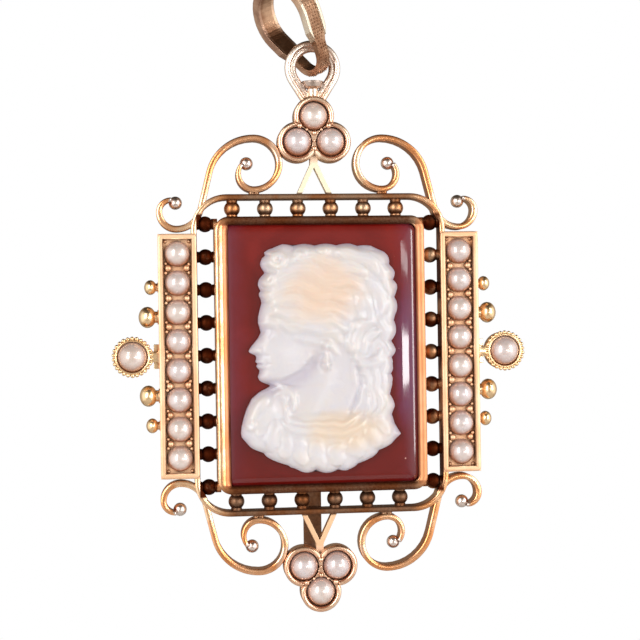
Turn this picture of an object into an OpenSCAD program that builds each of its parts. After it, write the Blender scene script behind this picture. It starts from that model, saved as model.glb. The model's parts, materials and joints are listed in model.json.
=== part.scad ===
// Cameo pendant: a carved stone cameo in a collet, a gallery of small balusters round it,
// an outer frame with scrolls, bars and trefoils of half pearls, a ring and an engraved bail.
// Millimetres. The front faces -Y, +Z is up, the origin is where the chain carries the bail.

/* [Collet] */
// Width of the collet round the stone
collet_w = 19.85; // [17:0.05:22]
// Height of the collet
collet_h = 26; // [23:0.1:29]
// Depth of the collet from its front rim to its back
collet_d = 3.2; // [2.8:0.1:3.8]
// Thickness of the collet's wall
collet_wall = 0.65; // [0.6:0.05:1]
// Corner radius of the collet
collet_r = 1.3; // [1:0.1:2]
// Width of the ledge behind the stone
ledge_w = 1.1; // [0.6:0.1:1.6]
// Thickness of the ledge behind the stone
ledge_t = 0.6; // [0.4:0.05:0.8]
// Play between a stone or pearl and its metal
fit = 0.05; // [0.03:0.01:0.08]

/* [Cameo] */
// How far the stone's face lies behind the collet's rim
stone_drop = 0.15; // [0.05:0.05:0.4]
// Width of the polished slope round the stone's face
stone_bevel = 0.6; // [0.3:0.1:1]
// How far that slope falls at the stone's edge
bevel_fall = 0.35; // [0.2:0.05:0.6]
// Width of the carved bust
relief_w = 15.1; // [12:0.1:16.2]
// Height of the carved bust
relief_h = 21.5; // [17:0.1:23]
// Greatest height of the carving above the stone
relief_d = 2.1; // [1.2:0.1:3]
// How far the middle of the bust lies below the stone's middle
relief_drop = 0.4; // [0:0.1:1]
// How far the bust stands left of the stone's middle
relief_left = 0.2; // [0:0.05:0.4]

/* [Gallery] */
// Space between collet and frame at the sides
gap_side = 1.65; // [1.3:0.05:2]
// Space between collet and frame at top and bottom
gap_end = 1.65; // [1.4:0.05:2.2]
// Diameter of a baluster's ball
gallery_ball = 1.52; // [1.1:0.02:1.6]
// Diameter of a baluster's collars
gallery_collar = 1.05; // [0.7:0.05:1.2]
// Length of a collar
collar_t = 0.22; // [0.15:0.01:0.3]
// Balusters along each side
side_n = 9; // [5:2:9]
// Balusters along the top and the bottom
end_n = 6; // [4:1:6]
// Rest of the collet's height beyond the side row
side_rest = 1.2; // [1.2:0.1:4]
// Rest of the collet's width beyond the end row
end_rest = 4.2; // [3:0.05:5]
// How far the trefoils, the ring and the rows above and below stand left of the middle
mid_x = 0.35; // [0:0.05:0.5]

/* [Outer frame] */
// Thickness of the frame's ribbon
frame_t = 0.5; // [0.4:0.05:0.8]
// Depth of the frame's ribbon
frame_d = 1.7; // [1.2:0.1:2.2]
// Outer corner radius of the frame
frame_r = 3.35; // [2.6:0.05:3.6]
// Depth of all soldered joints
solder = 0.12; // [0.08:0.01:0.18]

/* [Scrolls] */
// Width of a scroll's ribbon seen from the front
scroll_t = 0.56; // [0.4:0.02:0.7]
// Width of the ribbon at its two tips
scroll_tip = 0.38; // [0.3:0.02:0.5]
// Depth of a scroll's ribbon
scroll_d = 1.5; // [1:0.1:2]
// Radius of the large curl
curl_r = 2.44; // [2:0.02:2.8]
// Radius of the tail inside the large curl
curl_tail_r = 1.45; // [1.2:0.05:1.7]
// Radius of the sweep over the shoulder
sweep_r = 4.3; // [3.6:0.1:4.8]
// Length of the straight run down to the frame
scroll_run = 3.6; // [2.4:0.1:4]
// Radius of the turn outward at the frame
turn_r = 2.35; // [2:0.05:2.8]
// Radius of the small curl
small_r = 1.6; // [1.2:0.05:1.8]
// Radius of the tail inside the small curl
small_tail_r = 1.15; // [0.8:0.05:1.3]
// Diameter of the balls on the tips
scroll_ball = 1.25; // [1:0.05:1.6]
// Diameter of the beads that join the large curl to the frame
bead_d = 0.56; // [0.5:0.02:0.8]

/* [Pearl bars] */
// Half pearls in each bar
bar_n = 8; // [4:1:8]
// Spacing of the pearls in a bar
bar_pitch = 2.74; // [2.6:0.02:3]
// Diameter of the pearls in the bars
bar_pearl = 2.46; // [2:0.02:2.56]
// Width of a bar
bar_w = 3.6; // [3.5:0.05:4.4]
// Width of the raised rim of a bar
bar_rim = 0.5; // [0.4:0.02:0.52]
// Room beyond the pearls at each end of a bar
bar_end = 0.5; // [0.42:0.02:0.8]
// How far a bar lies over the frame
bar_lap = 0.46; // [0.2:0.02:0.48]
// Depth of a bar
bar_d = 1.9; // [1.6:0.1:2.4]
// How far the front of the bars and trefoils lies before the middle
front_y = 1.05; // [0.9:0.05:1.4]
// Depth of the pearls' seats below the front
seat = 0.5; // [0.3:0.05:0.6]
// Diameter of the metal grains between the pearls
grain_d = 0.6; // [0.4:0.02:0.62]
// How far those grains stand from the bar's middle
grain_x = 0.88; // [0.84:0.01:0.92]
// Diameter of the large side knobs
side_ball = 2; // [1.6:0.1:2.2]
// Height of the large side knobs above and below the middle
side_ball_z = 3.7; // [3.4:0.1:4.4]
// Diameter of the small side knobs
small_ball = 1.4; // [1:0.05:1.6]
// Height of the small side knobs above and below the middle
small_ball_z = 6.5; // [5.9:0.1:8]
// Length of a knob's ball as a share of its diameter
knob_flat = 0.82; // [0.6:0.02:1]
// Length of a knob's neck as a share of its diameter
knob_neck = 0.12; // [0.1:0.02:0.3]

/* [End collets] */
// Outer diameter of an end collet without its milled edge
end_d = 3.56; // [3.3:0.02:3.8]
// Diameter of the pearl in an end collet
end_pearl = 2.9; // [2.2:0.02:3]
// Room between a bar and its end collet
end_gap = 0.72; // [0.5:0.02:1]
// Width of the tongue that carries an end collet
tongue_w = 0.95; // [0.6:0.05:1.4]
// Width of the saddle behind the tongue
saddle_w = 2.3; // [1.8:0.1:3]

/* [Trefoils] */
// Spacing of the pair of pearls
tre_pitch = 3.14; // [2.98:0.02:3.2]
// Distance of the single pearl beyond the pair
tre_step = 2.42; // [2.36:0.02:2.8]
// Diameter of the three pearls
tre_pearl = 2.74; // [2.3:0.02:2.74]
// Radius of a lobe of the setting
lobe_r = 1.92; // [1.75:0.01:2]
// Depth of the setting
tre_d = 1.5; // [1.2:0.1:1.9]
// Height of the pair of pearls above the frame
tre_rise = 4.9; // [4.6:0.1:5.6]
// Spread of the two struts where they meet the frame
strut_w = 3; // [1.6:0.1:3.4]
// Thickness of the struts
strut_t = 0.48; // [0.4:0.02:0.6]
// Width of the strap behind the lower struts
strap_w = 1.7; // [1.2:0.1:2.2]
// Thickness of that strap
strap_t = 0.5; // [0.4:0.05:0.7]
// How far the strap stands left of the middle
strap_x = 0.8; // [0:0.05:1.2]

/* [Hanging ring] */
// Radius of the clear hole of the ring
ring_hole = 1.56; // [1.5:0.02:1.7]
// Diameter of the ring's wire
ring_wire = 0.62; // [0.5:0.02:0.7]
// Distance between the ring's two turns of wire
ring_step = 0.48; // [0.4:0.02:0.5]
// Angle below the horizontal where the legs leave the ring
leg_angle = 32; // [28:1:38]
// Diameter of the cup between the legs
cup_d = 2; // [1.4:0.1:2.2]

/* [Bail] */
// Radius of the bail's lower bend at the middle of its band
bail_r = 1.7; // [1.6:0.05:1.9]
// Radius of its upper bend
bail_top_r = 3.2; // [2.8:0.05:3.4]
// Distance between the centres of the two bends
bail_len = 4.1; // [3.9:0.1:4.8]
// Thickness of the band
bail_t = 0.6; // [0.45:0.05:0.65]
// Width of the band
bail_w = 2.1; // [1.9:0.1:2.3]
// Width of the band where it passes through the ring
bail_waist = 1.2; // [1:0.05:1.25]
// Height of the raised rails on the band
rail_h = 0.14; // [0.1:0.02:0.2]
// Width of the raised rails
rail_w = 0.3; // [0.2:0.02:0.4]
// Turn of the bail about the vertical
bail_yaw = 60; // [57:1:63]
// Lean of the bail to the left
bail_lean = 30; // [27:1:32]

/* [Hidden] */
$fn = 48;

// Collet, gallery and frame
stone_w = collet_w - 2 * collet_wall - 2 * fit;
stone_h = collet_h - 2 * collet_wall - 2 * fit;
stone_r = collet_r - 0.5 * collet_wall;
stone_front = -collet_d / 2 + stone_drop;
stone_back = collet_d / 2 - ledge_t - fit;
frame_w = collet_w + 2 * (gap_side + frame_t);
frame_h = collet_h + 2 * (gap_end + frame_t);
side_pitch = (collet_h - side_rest) / (side_n - 1);
end_pitch = (collet_w - end_rest) / (end_n - 1);

// Bars and end collets
seat_y = -front_y + seat;
bar_x = frame_w / 2 - bar_lap + bar_w / 2;
bar_out = bar_x + bar_w / 2;
bar_h = bar_n * bar_pitch + 2 * bar_end;
end_x = bar_out + end_gap + end_d / 2;

// Trefoils: the pair, then the single pearl, in the upper trefoil's directions
pair_z = frame_h / 2 + tre_rise;
TREFOIL = [[-tre_pitch / 2 - mid_x, pair_z], [tre_pitch / 2 - mid_x, pair_z],
           [-mid_x, pair_z + tre_step]];
tre_back = -front_y + tre_d;

// Ring: the mean radius of its two turns, and its centre above the trefoil
ring_r = ring_hole + ring_wire / 2 + ring_step / 2;
ring_y = (tre_back - front_y) / 2;
ring_z = pair_z + tre_step + lobe_r + ring_r + 0.6;
leg_len = 2.25;

// Bail: its lower bend's centre, placed so that the band passes through the ring's middle
bail_bevel = asin((bail_r - bail_top_r) / bail_len);
cross_angle = -107;
cross_u = bail_r * cos(cross_angle);
cross_q = bail_r * sin(cross_angle);
cross_rise = -0.25;
cross_side = 0.35;
function lean(p) = [p[0] * cos(bail_lean) - p[2] * sin(bail_lean), p[1],
                    p[0] * sin(bail_lean) + p[2] * cos(bail_lean)];
function bail_point(u, q) = lean([u * cos(bail_yaw), -u * sin(bail_yaw), q]);
bail_at = [cross_side - mid_x, ring_y, ring_z + cross_rise] - bail_point(cross_u, cross_q);
hang_at = bail_at + bail_point(0, bail_len + bail_top_r - bail_t / 2);

// Rows of a scroll: radius and turn in degrees, left positive; radius 0 is a straight length
SCROLL = [
    [curl_tail_r, -130],
    [curl_r, -180],
    [sweep_r, -76],
    [0, scroll_run],
    [turn_r, 76],
    [small_r, 90],
    [small_tail_r, 90]
];
scroll_anchor = 4;   // rows before the point that sits on the frame's corner
anchor_angle = 38.5; // where on the frame's corner that is
arc_step = 10;

// Outline of the bust, by rows up its height: height, left edge and right edge,
// as shares of half the bust's height and half its width
BUST_EDGE = [
    [-1.000, -0.10, 0.13], [-0.985, -0.24, 0.27], [-0.950, -0.38, 0.41], [-0.900, -0.53, 0.54],
    [-0.840, -0.69, 0.68], [-0.780, -0.83, 0.81], [-0.720, -0.94, 0.93], [-0.675, -0.99, 1.00],
    [-0.640, -1.00, 0.97], [-0.580, -0.99, 0.92], [-0.500, -0.96, 0.89], [-0.420, -0.92, 0.91],
    [-0.340, -0.86, 0.90], [-0.285, -0.77, 0.88], [-0.255, -0.68, 0.88], [-0.232, -0.62, 0.88],
    [-0.218, -0.66, 0.88], [-0.200, -0.73, 0.89], [-0.180, -0.765, 0.90], [-0.150, -0.78, 0.91],
    [-0.120, -0.765, 0.91], [-0.095, -0.755, 0.90], [-0.075, -0.785, 0.89], [-0.055, -0.80, 0.89],
    [-0.040, -0.775, 0.90], [-0.022, -0.81, 0.91], [-0.005, -0.80, 0.92], [0.020, -0.795, 0.93],
    [0.038, -0.81, 0.93], [0.052, -0.865, 0.93], [0.070, -0.89, 0.93], [0.095, -0.875, 0.92],
    [0.140, -0.825, 0.92], [0.190, -0.765, 0.93], [0.235, -0.735, 0.94], [0.275, -0.75, 0.95],
    [0.315, -0.768, 0.96], [0.370, -0.765, 0.95], [0.430, -0.745, 0.96], [0.490, -0.72, 0.97],
    [0.530, -0.73, 0.97], [0.580, -0.76, 0.96], [0.640, -0.75, 0.97], [0.700, -0.73, 0.95],
    [0.760, -0.70, 0.93], [0.820, -0.71, 0.91], [0.880, -0.71, 0.86], [0.930, -0.68, 0.82],
    [0.970, -0.60, 0.76], [1.000, -0.45, 0.66]
];
// Broad forms of the carving: centre, half sizes, height and softness of the edge
BUST_FORM = [
    [0.13, 0.60, 0.86, 0.42, 0.15, 0.30],   // hair over the head
    [0.72, -0.05, 0.36, 0.56, 0.10, 0.40],  // hair falling behind the neck
    [-0.62, 0.62, 0.22, 0.16, 0.06, 0.50],  // curls over the forehead
    [0.00, -0.82, 1.00, 0.36, 0.13, 0.35],  // gown over the bust
    [-0.78, -0.52, 0.30, 0.30, 0.08, 0.45]  // gown at the front
];
// Small rounded forms: centre, half sizes and height
BUST_BUMP = [
    [-0.50, 0.04, 0.22, 0.17, 0.10],   // cheek
    [-0.645, 0.215, 0.10, 0.055, -0.13], // hollow of the eye
    [-0.655, 0.205, 0.055, 0.028, 0.10], // eye
    [-0.665, 0.300, 0.12, 0.028, 0.06],  // brow
    [-0.765, 0.075, 0.06, 0.030, 0.06],  // side of the nose
    [-0.755, -0.025, 0.06, 0.016, 0.06], // upper lip
    [-0.745, -0.063, 0.06, 0.018, 0.06], // lower lip
    [-0.700, -0.155, 0.09, 0.045, 0.07], // chin
    [0.04, -0.065, 0.05, 0.045, 0.12],   // drop of the earring
    [0.03, 0.12, 0.06, 0.05, 0.10]       // stud of the earring
];
// Ridges and grooves: from, to, half width and height
BUST_RIDGE = [
    [-0.62, -0.235, -0.34, -0.200, 0.07, -0.12], // under the jaw
    [-0.34, -0.200, -0.10, -0.04, 0.08, -0.10],
    [0.03, 0.08, 0.04, -0.04, 0.025, 0.08],      // wire of the earring
    [0.62, 0.30, 0.38, 0.13, 0.13, 0.13],        // rolled lock at the nape
    [0.38, 0.13, 0.44, -0.05, 0.12, 0.13],
    [0.44, -0.05, 0.66, -0.12, 0.12, 0.10],
    [-0.42, -0.20, -0.48, -0.40, 0.05, 0.12],    // rolled edge of the gown
    [-0.48, -0.40, -0.22, -0.55, 0.06, 0.12],
    [-0.22, -0.55, 0.22, -0.58, 0.06, 0.10],
    [0.22, -0.58, 0.48, -0.44, 0.06, 0.10],
    [0.48, -0.44, 0.50, -0.14, 0.04, -0.10],     // hollow behind the neck
    [-0.90, -0.45, -0.66, -0.36, 0.06, 0.09],    // folds of the gown
    [-0.94, -0.60, -0.60, -0.52, 0.06, 0.09],
    [-0.74, -0.80, -0.50, -0.60, 0.05, 0.08],
    [-0.46, -0.90, -0.32, -0.66, 0.05, 0.09],
    [-0.18, -0.96, -0.12, -0.70, 0.05, 0.09],
    [0.12, -0.96, 0.08, -0.70, 0.05, 0.09],
    [0.40, -0.88, 0.28, -0.68, 0.05, 0.09],
    [0.66, -0.74, 0.46, -0.58, 0.05, 0.08],
    [0.90, -0.66, 0.62, -0.46, 0.05, 0.08]
];
bust_cols = 34;
bust_step = 0.034;

// A flat outline in X and Z, from one depth forward to another
module slab(back, front) {
    translate([0, back, 0]) rotate([90, 0, 0]) linear_extrude(back - front) children();
}

module rounded(w, h, r) {
    union() {
        square([w - 2 * r, h], center = true);
        square([w, h - 2 * r], center = true);
        for (x = [-1, 1], z = [-1, 1])
            translate([x * (w / 2 - r), z * (h / 2 - r)]) circle(r);
    }
}

// Four copies of what stands in the upper right quarter
module quarters() {
    for (x = [0, 1], z = [0, 1]) mirror([x, 0, 0]) mirror([0, 0, z]) children();
}

module top_and_bottom() {
    for (z = [0, 1]) mirror([0, 0, z]) children();
}

module left_and_right() {
    for (x = [0, 1]) mirror([x, 0, 0]) children();
}

module collet() {
    difference() {
        slab(collet_d / 2, -collet_d / 2) rounded(collet_w, collet_h, collet_r);
        slab(collet_d / 2 - ledge_t, -collet_d)
            rounded(stone_w + 2 * fit, stone_h + 2 * fit, stone_r + fit);
        slab(collet_d, -collet_d)
            rounded(stone_w - 2 * ledge_w, stone_h - 2 * ledge_w, stone_r);
    }
}

// A turned baluster along +X, from the collet's wall at 0 to the frame's at the given length:
// a ball between two collars, which run on into the metal at both ends
module baluster(len, sink) {
    rotate([0, 90, 0]) rotate_extrude() {
        intersection() {
            translate([0, len / 2]) circle(d = gallery_ball);
            square([gallery_ball, len]);
        }
        translate([0, -sink]) square([gallery_collar / 2, sink + collar_t]);
        translate([0, len - collar_t]) square([gallery_collar / 2, collar_t + solder]);
        square([gallery_collar * 0.42, len]);
    }
}

module gallery() {
    left_and_right()
        for (i = [0:side_n - 1])
            translate([collet_w / 2, 0, (i - (side_n - 1) / 2) * side_pitch])
                baluster(gap_side, collet_wall / 2);
    top_and_bottom()
        for (i = [0:end_n - 1])
            translate([(i - (end_n - 1) / 2) * end_pitch - mid_x, 0, collet_h / 2])
                rotate([0, -90, 0]) baluster(gap_end, solder);
}

module outer_frame() {
    slab(frame_d / 2, -frame_d / 2) difference() {
        rounded(frame_w, frame_h, frame_r);
        rounded(frame_w - 2 * frame_t, frame_h - 2 * frame_t, frame_r - frame_t);
    }
}

// The scroll's path: points with their headings, walked row by row
function side_of(a) = a < 0 ? -1 : 1;
function arc_at(p, h, r, a, t) =
    let (s = side_of(a), c = p + s * r * [-sin(h), cos(h)], g = h + a * t)
    concat(c + s * r * [sin(g), -cos(g)], [g]);
function walk_row(p, h, row) = row[0] == 0
    ? [concat(p + row[1] * [cos(h), sin(h)], [h])]
    : let (n = ceil(abs(row[1]) / arc_step)) [for (i = [1:n]) arc_at(p, h, row[0], row[1], i / n)];
function walk(p, h, rows, i = 0) = i >= len(rows) ? []
    : let (part = walk_row(p, h, rows[i]), e = part[len(part) - 1])
      concat(part, walk([e[0], e[1]], e[2], rows, i + 1));
start_heading = -50;
scroll_raw = concat([[0, 0, start_heading]], walk([0, 0], start_heading, SCROLL));
function rows_until(n) = [for (i = [0:n - 1]) SCROLL[i]];
anchor_raw = let (w = walk([0, 0], start_heading, rows_until(scroll_anchor))) w[len(w) - 1];
corner_mid = frame_r - frame_t / 2;
anchor_at = [frame_w / 2 - frame_r, frame_h / 2 - frame_r]
    + corner_mid * [cos(anchor_angle), sin(anchor_angle)];
scroll_path = [for (p = scroll_raw)
    [p[0] - anchor_raw[0] + anchor_at[0], p[1] - anchor_raw[1] + anchor_at[1], p[2]]];
scroll_n = len(scroll_path);
function taper(i) = let (e = min(i, scroll_n - 1 - i) / 10)
    scroll_tip + (scroll_t - scroll_tip) * min(1, e);
scroll_outline = concat(
    [for (i = [0:scroll_n - 1]) let (p = scroll_path[i])
        [p[0], p[1]] + taper(i) / 2 * [-sin(p[2]), cos(p[2])]],
    [for (i = [scroll_n - 1:-1:0]) let (p = scroll_path[i])
        [p[0], p[1]] - taper(i) / 2 * [-sin(p[2]), cos(p[2])]]
);
// Where the large curl comes nearest to the frame
curl_low = [scroll_path[13][0], min([for (i = [8:20]) scroll_path[i][1]])];

// A ball on a tip: the point, the way onward and the side that the curl turns to
module tip_ball(p, way, turn) {
    q = [p[0], p[1]] + scroll_ball / 2 * (0.62 * way * [cos(p[2]), sin(p[2])]
        + 0.45 * turn * [-sin(p[2]), cos(p[2])]);
    translate([q[0], 0, q[1]]) sphere(d = scroll_ball);
}

module scroll() {
    slab(scroll_d / 2, -scroll_d / 2) polygon(scroll_outline);
    tip_ball(scroll_path[0], -1, -1);
    tip_ball(scroll_path[scroll_n - 1], 1, 1);
    for (x = [-1, 1])
        translate([curl_low[0] + x * bead_d * 0.42, -scroll_d / 2 + bead_d / 2,
                   (curl_low[1] - scroll_t / 2 + frame_h / 2) / 2])
            sphere(d = bead_d, $fn = 24);
}

// A bar with its recess and the grains between the pearls
function bar_z(i) = (bar_n - 1) / 2 * bar_pitch - (i - 1) * bar_pitch;

// The recess of the right bar, cut into all the metal that reaches it
module bar_recess() {
    translate([bar_x - bar_w / 2 + bar_rim, -front_y - seat, -bar_h / 2 + bar_rim])
        cube([bar_w - 2 * bar_rim, 2 * seat, bar_h - 2 * bar_rim]);
}

module pearl_bar() {
    difference() {
        translate([bar_x - bar_w / 2, -front_y, -bar_h / 2]) cube([bar_w, bar_d, bar_h]);
        bar_recess();
    }
    for (i = [1:bar_n - 1], s = [-1, 1])
        translate([bar_x + s * grain_x, seat_y - grain_d * 0.1, bar_z(i + 0.5)])
            sphere(d = grain_d, $fn = 24);
    corner_d = grain_d * 0.6;
    for (x = [-1, 1], z = [-1, 1])
        translate([bar_x + x * (bar_w / 2 - bar_rim - corner_d / 2), seat_y,
                   z * (bar_h / 2 - bar_rim - corner_d / 2)])
            sphere(d = corner_d, $fn = 24);
}

// A turned knob that stands out along +X: a flattened ball on a stepped neck
module knob(d) {
    neck = d * knob_neck;
    long = d * knob_flat;
    rotate([0, 90, 0]) rotate_extrude() {
        translate([0, -solder]) square([d * 0.27, solder + neck + long * 0.3]);
        translate([0, -solder]) square([d * 0.34, solder + neck * 0.45]);
        intersection() {
            translate([0, neck + long / 2]) scale([1, knob_flat]) circle(d = d);
            square([d, 2 * d]);
        }
    }
}

module side_knobs() {
    for (z = [-1, 1]) {
        translate([bar_out, 0, z * side_ball_z]) knob(side_ball);
        translate([bar_out, 0, z * small_ball_z]) knob(small_ball);
    }
}

// A round collet on the end of the cross axis, with the tongue and saddle that carry it
module end_collet() {
    difference() {
        union() {
            translate([end_x, 0, 0]) slab(tre_back, -front_y) circle(d = end_d);
            translate([bar_out - solder, -front_y + 0.15, -tongue_w / 2])
                cube([end_gap + end_d / 4, tre_d - 0.3, tongue_w]);
            translate([bar_out - solder, -front_y + 0.6, -saddle_w / 2])
                cube([end_gap * 0.7 + solder, tre_d - 0.9, saddle_w]);
        }
        translate([end_x, 0, 0]) slab(seat_y, -2 * front_y) circle(d = end_pearl + 2 * fit);
    }
}

module trefoil_setting() {
    difference() {
        slab(tre_back, -front_y) {
            for (p = TREFOIL) translate(p) circle(lobe_r);
            translate([-mid_x, pair_z + tre_step / 3]) circle(r = tre_pitch * 0.35);
        }
        for (p = TREFOIL)
            translate([p[0], 0, p[1]]) slab(seat_y, -2 * front_y) circle(d = tre_pearl + 2 * fit);
    }
    // Two struts from the frame, joined in a stem before the crotch of the setting
    foot = frame_h / 2 - solder;
    crotch = pair_z - lobe_r * 0.35;
    stem = foot + 0.68 * (crotch - foot);
    for (s = [-1, 1])
        translate([-mid_x, 0, 0]) slab(frame_d * 0.3, -frame_d * 0.3) polygon([
            [s * (strut_w + strut_t) / 2, foot], [s * (strut_w - strut_t) / 2, foot],
            [-s * strut_t * 0.3, stem], [-s * strut_t * 0.3, crotch],
            [s * strut_t * 0.75, crotch], [s * strut_t * 0.75, stem]
        ]);
}

// A strap from the collet's back down to the lower trefoil's back
module back_strap() {
    top = -collet_h / 2 + collet_wall;
    foot = -pair_z + lobe_r * 0.4;
    translate([-strap_x - strap_w / 2, collet_d / 2 - solder, foot])
        cube([strap_w, strap_t, top - foot]);
    translate([-strap_x - strap_w / 2, tre_back - solder, foot - strap_t])
        cube([strap_w, collet_d / 2 - tre_back + strap_t, 2 * strap_t]);
}

// Cross section of the ring: two turns of wire side by side, soldered along their length
module ring_section() {
    translate([ring_r, 0]) {
        translate([-ring_step / 2, -ring_step / 4]) circle(d = ring_wire, $fn = 24);
        translate([ring_step / 2, ring_step / 4]) circle(d = ring_wire, $fn = 24);
    }
}

module ring_leg(ahead) {
    rotate([90, 0, 0]) translate([0, 0, ahead ? 0 : -leg_len])
        linear_extrude(leg_len) ring_section();
}

// A ring open below, whose two legs run on to the back of the trefoil
module hanging_ring() {
    arc = 180 + 2 * leg_angle;
    translate([-mid_x, ring_y, ring_z]) rotate([90, 0, 0]) rotate([0, 0, -leg_angle]) {
        rotate_extrude(angle = arc) ring_section();
        ring_leg(true);
        rotate([0, 0, arc]) ring_leg(false);
    }
    // Neck and small bowl between the legs
    foot = pair_z + tre_step + lobe_r - solder;
    brim = ring_z - ring_hole + 0.3;
    translate([-mid_x, ring_y, foot]) rotate_extrude() polygon([
        [0, 0], [cup_d * 0.25, 0], [cup_d * 0.25, brim - foot - cup_d * 0.36],
        [cup_d * 0.42, brim - foot - cup_d * 0.26], [cup_d * 0.52, brim - foot],
        [cup_d * 0.42, brim - foot], [cup_d * 0.3, brim - foot - cup_d * 0.14],
        [0, brim - foot - cup_d * 0.2]
    ]);
}

module gold_mount() {
    color("goldenrod") translate(-hang_at) {
        collet();
        gallery();
        outer_frame();
        quarters() difference() {
            scroll();
            bar_recess();
        }
        left_and_right() {
            pearl_bar();
            side_knobs();
            end_collet();
        }
        top_and_bottom() trefoil_setting();
        back_strap();
        hanging_ring();
    }
}

// The stone: a plate with rounded corners and a sloping polished edge
module cameo_plaque() {
    color("firebrick") translate(-hang_at) intersection() {
        slab(stone_back, stone_front) rounded(stone_w, stone_h, stone_r);
        rotate([90, 0, 90]) linear_extrude(stone_w, center = true) stone_section(stone_h);
        rotate([0, 0, 90]) linear_extrude(stone_h, center = true)
            mirror([0, 1]) stone_section(stone_w);
    }
}

// Cross section of the stone: its depth against its length
module stone_section(len) {
    polygon([
        [stone_back, -len / 2], [stone_back, len / 2],
        [stone_front + bevel_fall, len / 2], [stone_front, len / 2 - stone_bevel],
        [stone_front, -len / 2 + stone_bevel], [stone_front + bevel_fall, -len / 2]
    ]);
}

// Height of the carving at a point, as a share of its greatest height
function left_at(v) = lookup(v, [for (r = BUST_EDGE) [r[0], r[1]]]);
function right_at(v) = lookup(v, [for (r = BUST_EDGE) [r[0], r[2]]]);
function soft(t) = let (c = max(0, min(1, t))) c * c * (3 - 2 * c);
function form_at(f, u, v) = let (d = pow((u - f[0]) / f[2], 2) + pow((v - f[1]) / f[3], 2))
    f[4] * soft((1 - d) / f[5]);
function bump_at(b, u, v) = let (d = pow((u - b[0]) / b[2], 2) + pow((v - b[1]) / b[3], 2))
    d > 6 ? 0 : b[4] * exp(-d);
function ridge_at(g, u, v) =
    let (a = [g[0], g[1] * bust_tall], b = [g[2], g[3] * bust_tall], p = [u, v * bust_tall],
         t = max(0, min(1, (p - a) * (b - a) / ((b - a) * (b - a)))), d = norm(p - a - t * (b - a)))
    d > 2.4 * g[4] ? 0 : g[5] * exp(-pow(d / g[4], 2));
bust_tall = relief_h / relief_w;
function total(list) = [for (x = list) 1] * list;
// Waves of the hair, strongest in the hair's own forms
function wave_at(u, v) =
    let (w = soft((1 - pow((u - 0.13) / 0.86, 2) - pow((v - 0.62) / 0.40, 2)) / 0.4),
         b = soft((1 - pow((u - 0.74) / 0.28, 2) - pow((v + 0.02) / 0.52, 2)) / 0.5))
    0.035 * w * sin(1900 * v + 260 * u + 60 * sin(420 * u))
    + 0.035 * b * (1 - w) * sin(1500 * v + 380 * u);
function carve(u, v, s) =
    0.22 + 0.34 * (1 - pow(abs(2 * s - 1), 4))
    + total([for (f = BUST_FORM) form_at(f, u, v)])
    + total([for (b = BUST_BUMP) bump_at(b, u, v)])
    + total([for (g = BUST_RIDGE) ridge_at(g, u, v)])
    + wave_at(u, v);

// Rows at each entry of the outline's table, and between where it is coarse
bust_rows = concat(
    [for (i = [0:len(BUST_EDGE) - 2])
        let (a = BUST_EDGE[i][0], b = BUST_EDGE[i + 1][0], n = ceil((b - a) / bust_step))
        for (j = [0:n - 1]) a + (b - a) * j / n],
    [1]
);
bust_n = len(bust_rows);

module cameo_relief() {
    base_y = stone_front - fit;
    front = [for (v = bust_rows) for (j = [0:bust_cols])
        let (s = j / bust_cols, l = left_at(v), r = right_at(v), u = l + (r - l) * s)
        [u * relief_w / 2 - relief_left, base_y - relief_d * carve(u, v, s),
         v * relief_h / 2 - relief_drop]];
    back = [for (v = bust_rows) for (e = [left_at(v), right_at(v)])
        [e * relief_w / 2 - relief_left, base_y, v * relief_h / 2 - relief_drop]];
    c = bust_cols + 1;
    nf = len(front);
    color("ivory") translate(-hang_at) polyhedron(
        points = concat(front, back),
        faces = concat(
            [for (i = [0:bust_n - 2], j = [0:bust_cols - 1])
                each [[i * c + j, (i + 1) * c + j + 1, i * c + j + 1],
                      [i * c + j, (i + 1) * c + j, (i + 1) * c + j + 1]]],
            [for (i = [0:bust_n - 2]) let (b = nf + 2 * i)
                each [[b, b + 3, b + 2], [b, b + 1, b + 3]]],
            [for (i = [0:bust_n - 2]) let (b = nf + 2 * i, f = i * c)
                each [[f, b + 2, f + c], [f, b, b + 2]]],
            [for (i = [0:bust_n - 2]) let (b = nf + 2 * i + 1, f = i * c + bust_cols)
                each [[f, b + 2, b], [f, f + c, b + 2]]],
            [concat([for (j = [0:bust_cols]) j], [nf + 1, nf])],
            [concat([for (j = [bust_cols:-1:0]) (bust_n - 1) * c + j],
                    [nf + 2 * bust_n - 2, nf + 2 * bust_n - 1])]
        )
    );
}

// A half pearl seated at a point of the front
module half_pearl(x, z, d) {
    color("mistyrose") translate(-hang_at) translate([x, seat_y - fit, z])
        intersection() {
            sphere(d = d);
            translate([-d, -2 * d, -d]) cube([2 * d, 2 * d, 2 * d]);
        }
}

// The bail's side view: the outline of two bends and their tangents, at an offset from the band
function bend(r, q, from, to) = [for (i = [0:24])
    let (a = from + (to - from) * i / 24) [r * cos(a), q + r * sin(a)]];
module bail_outline(off) {
    polygon(concat(
        bend(bail_r + off, 0, -180 - bail_bevel, bail_bevel),
        bend(bail_top_r + off, bail_len, bail_bevel, 180 - bail_bevel)
    ));
}

module bail_band(w, inner, outer) {
    linear_extrude(w, center = true) difference() {
        bail_outline(outer);
        bail_outline(inner);
    }
}

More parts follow.
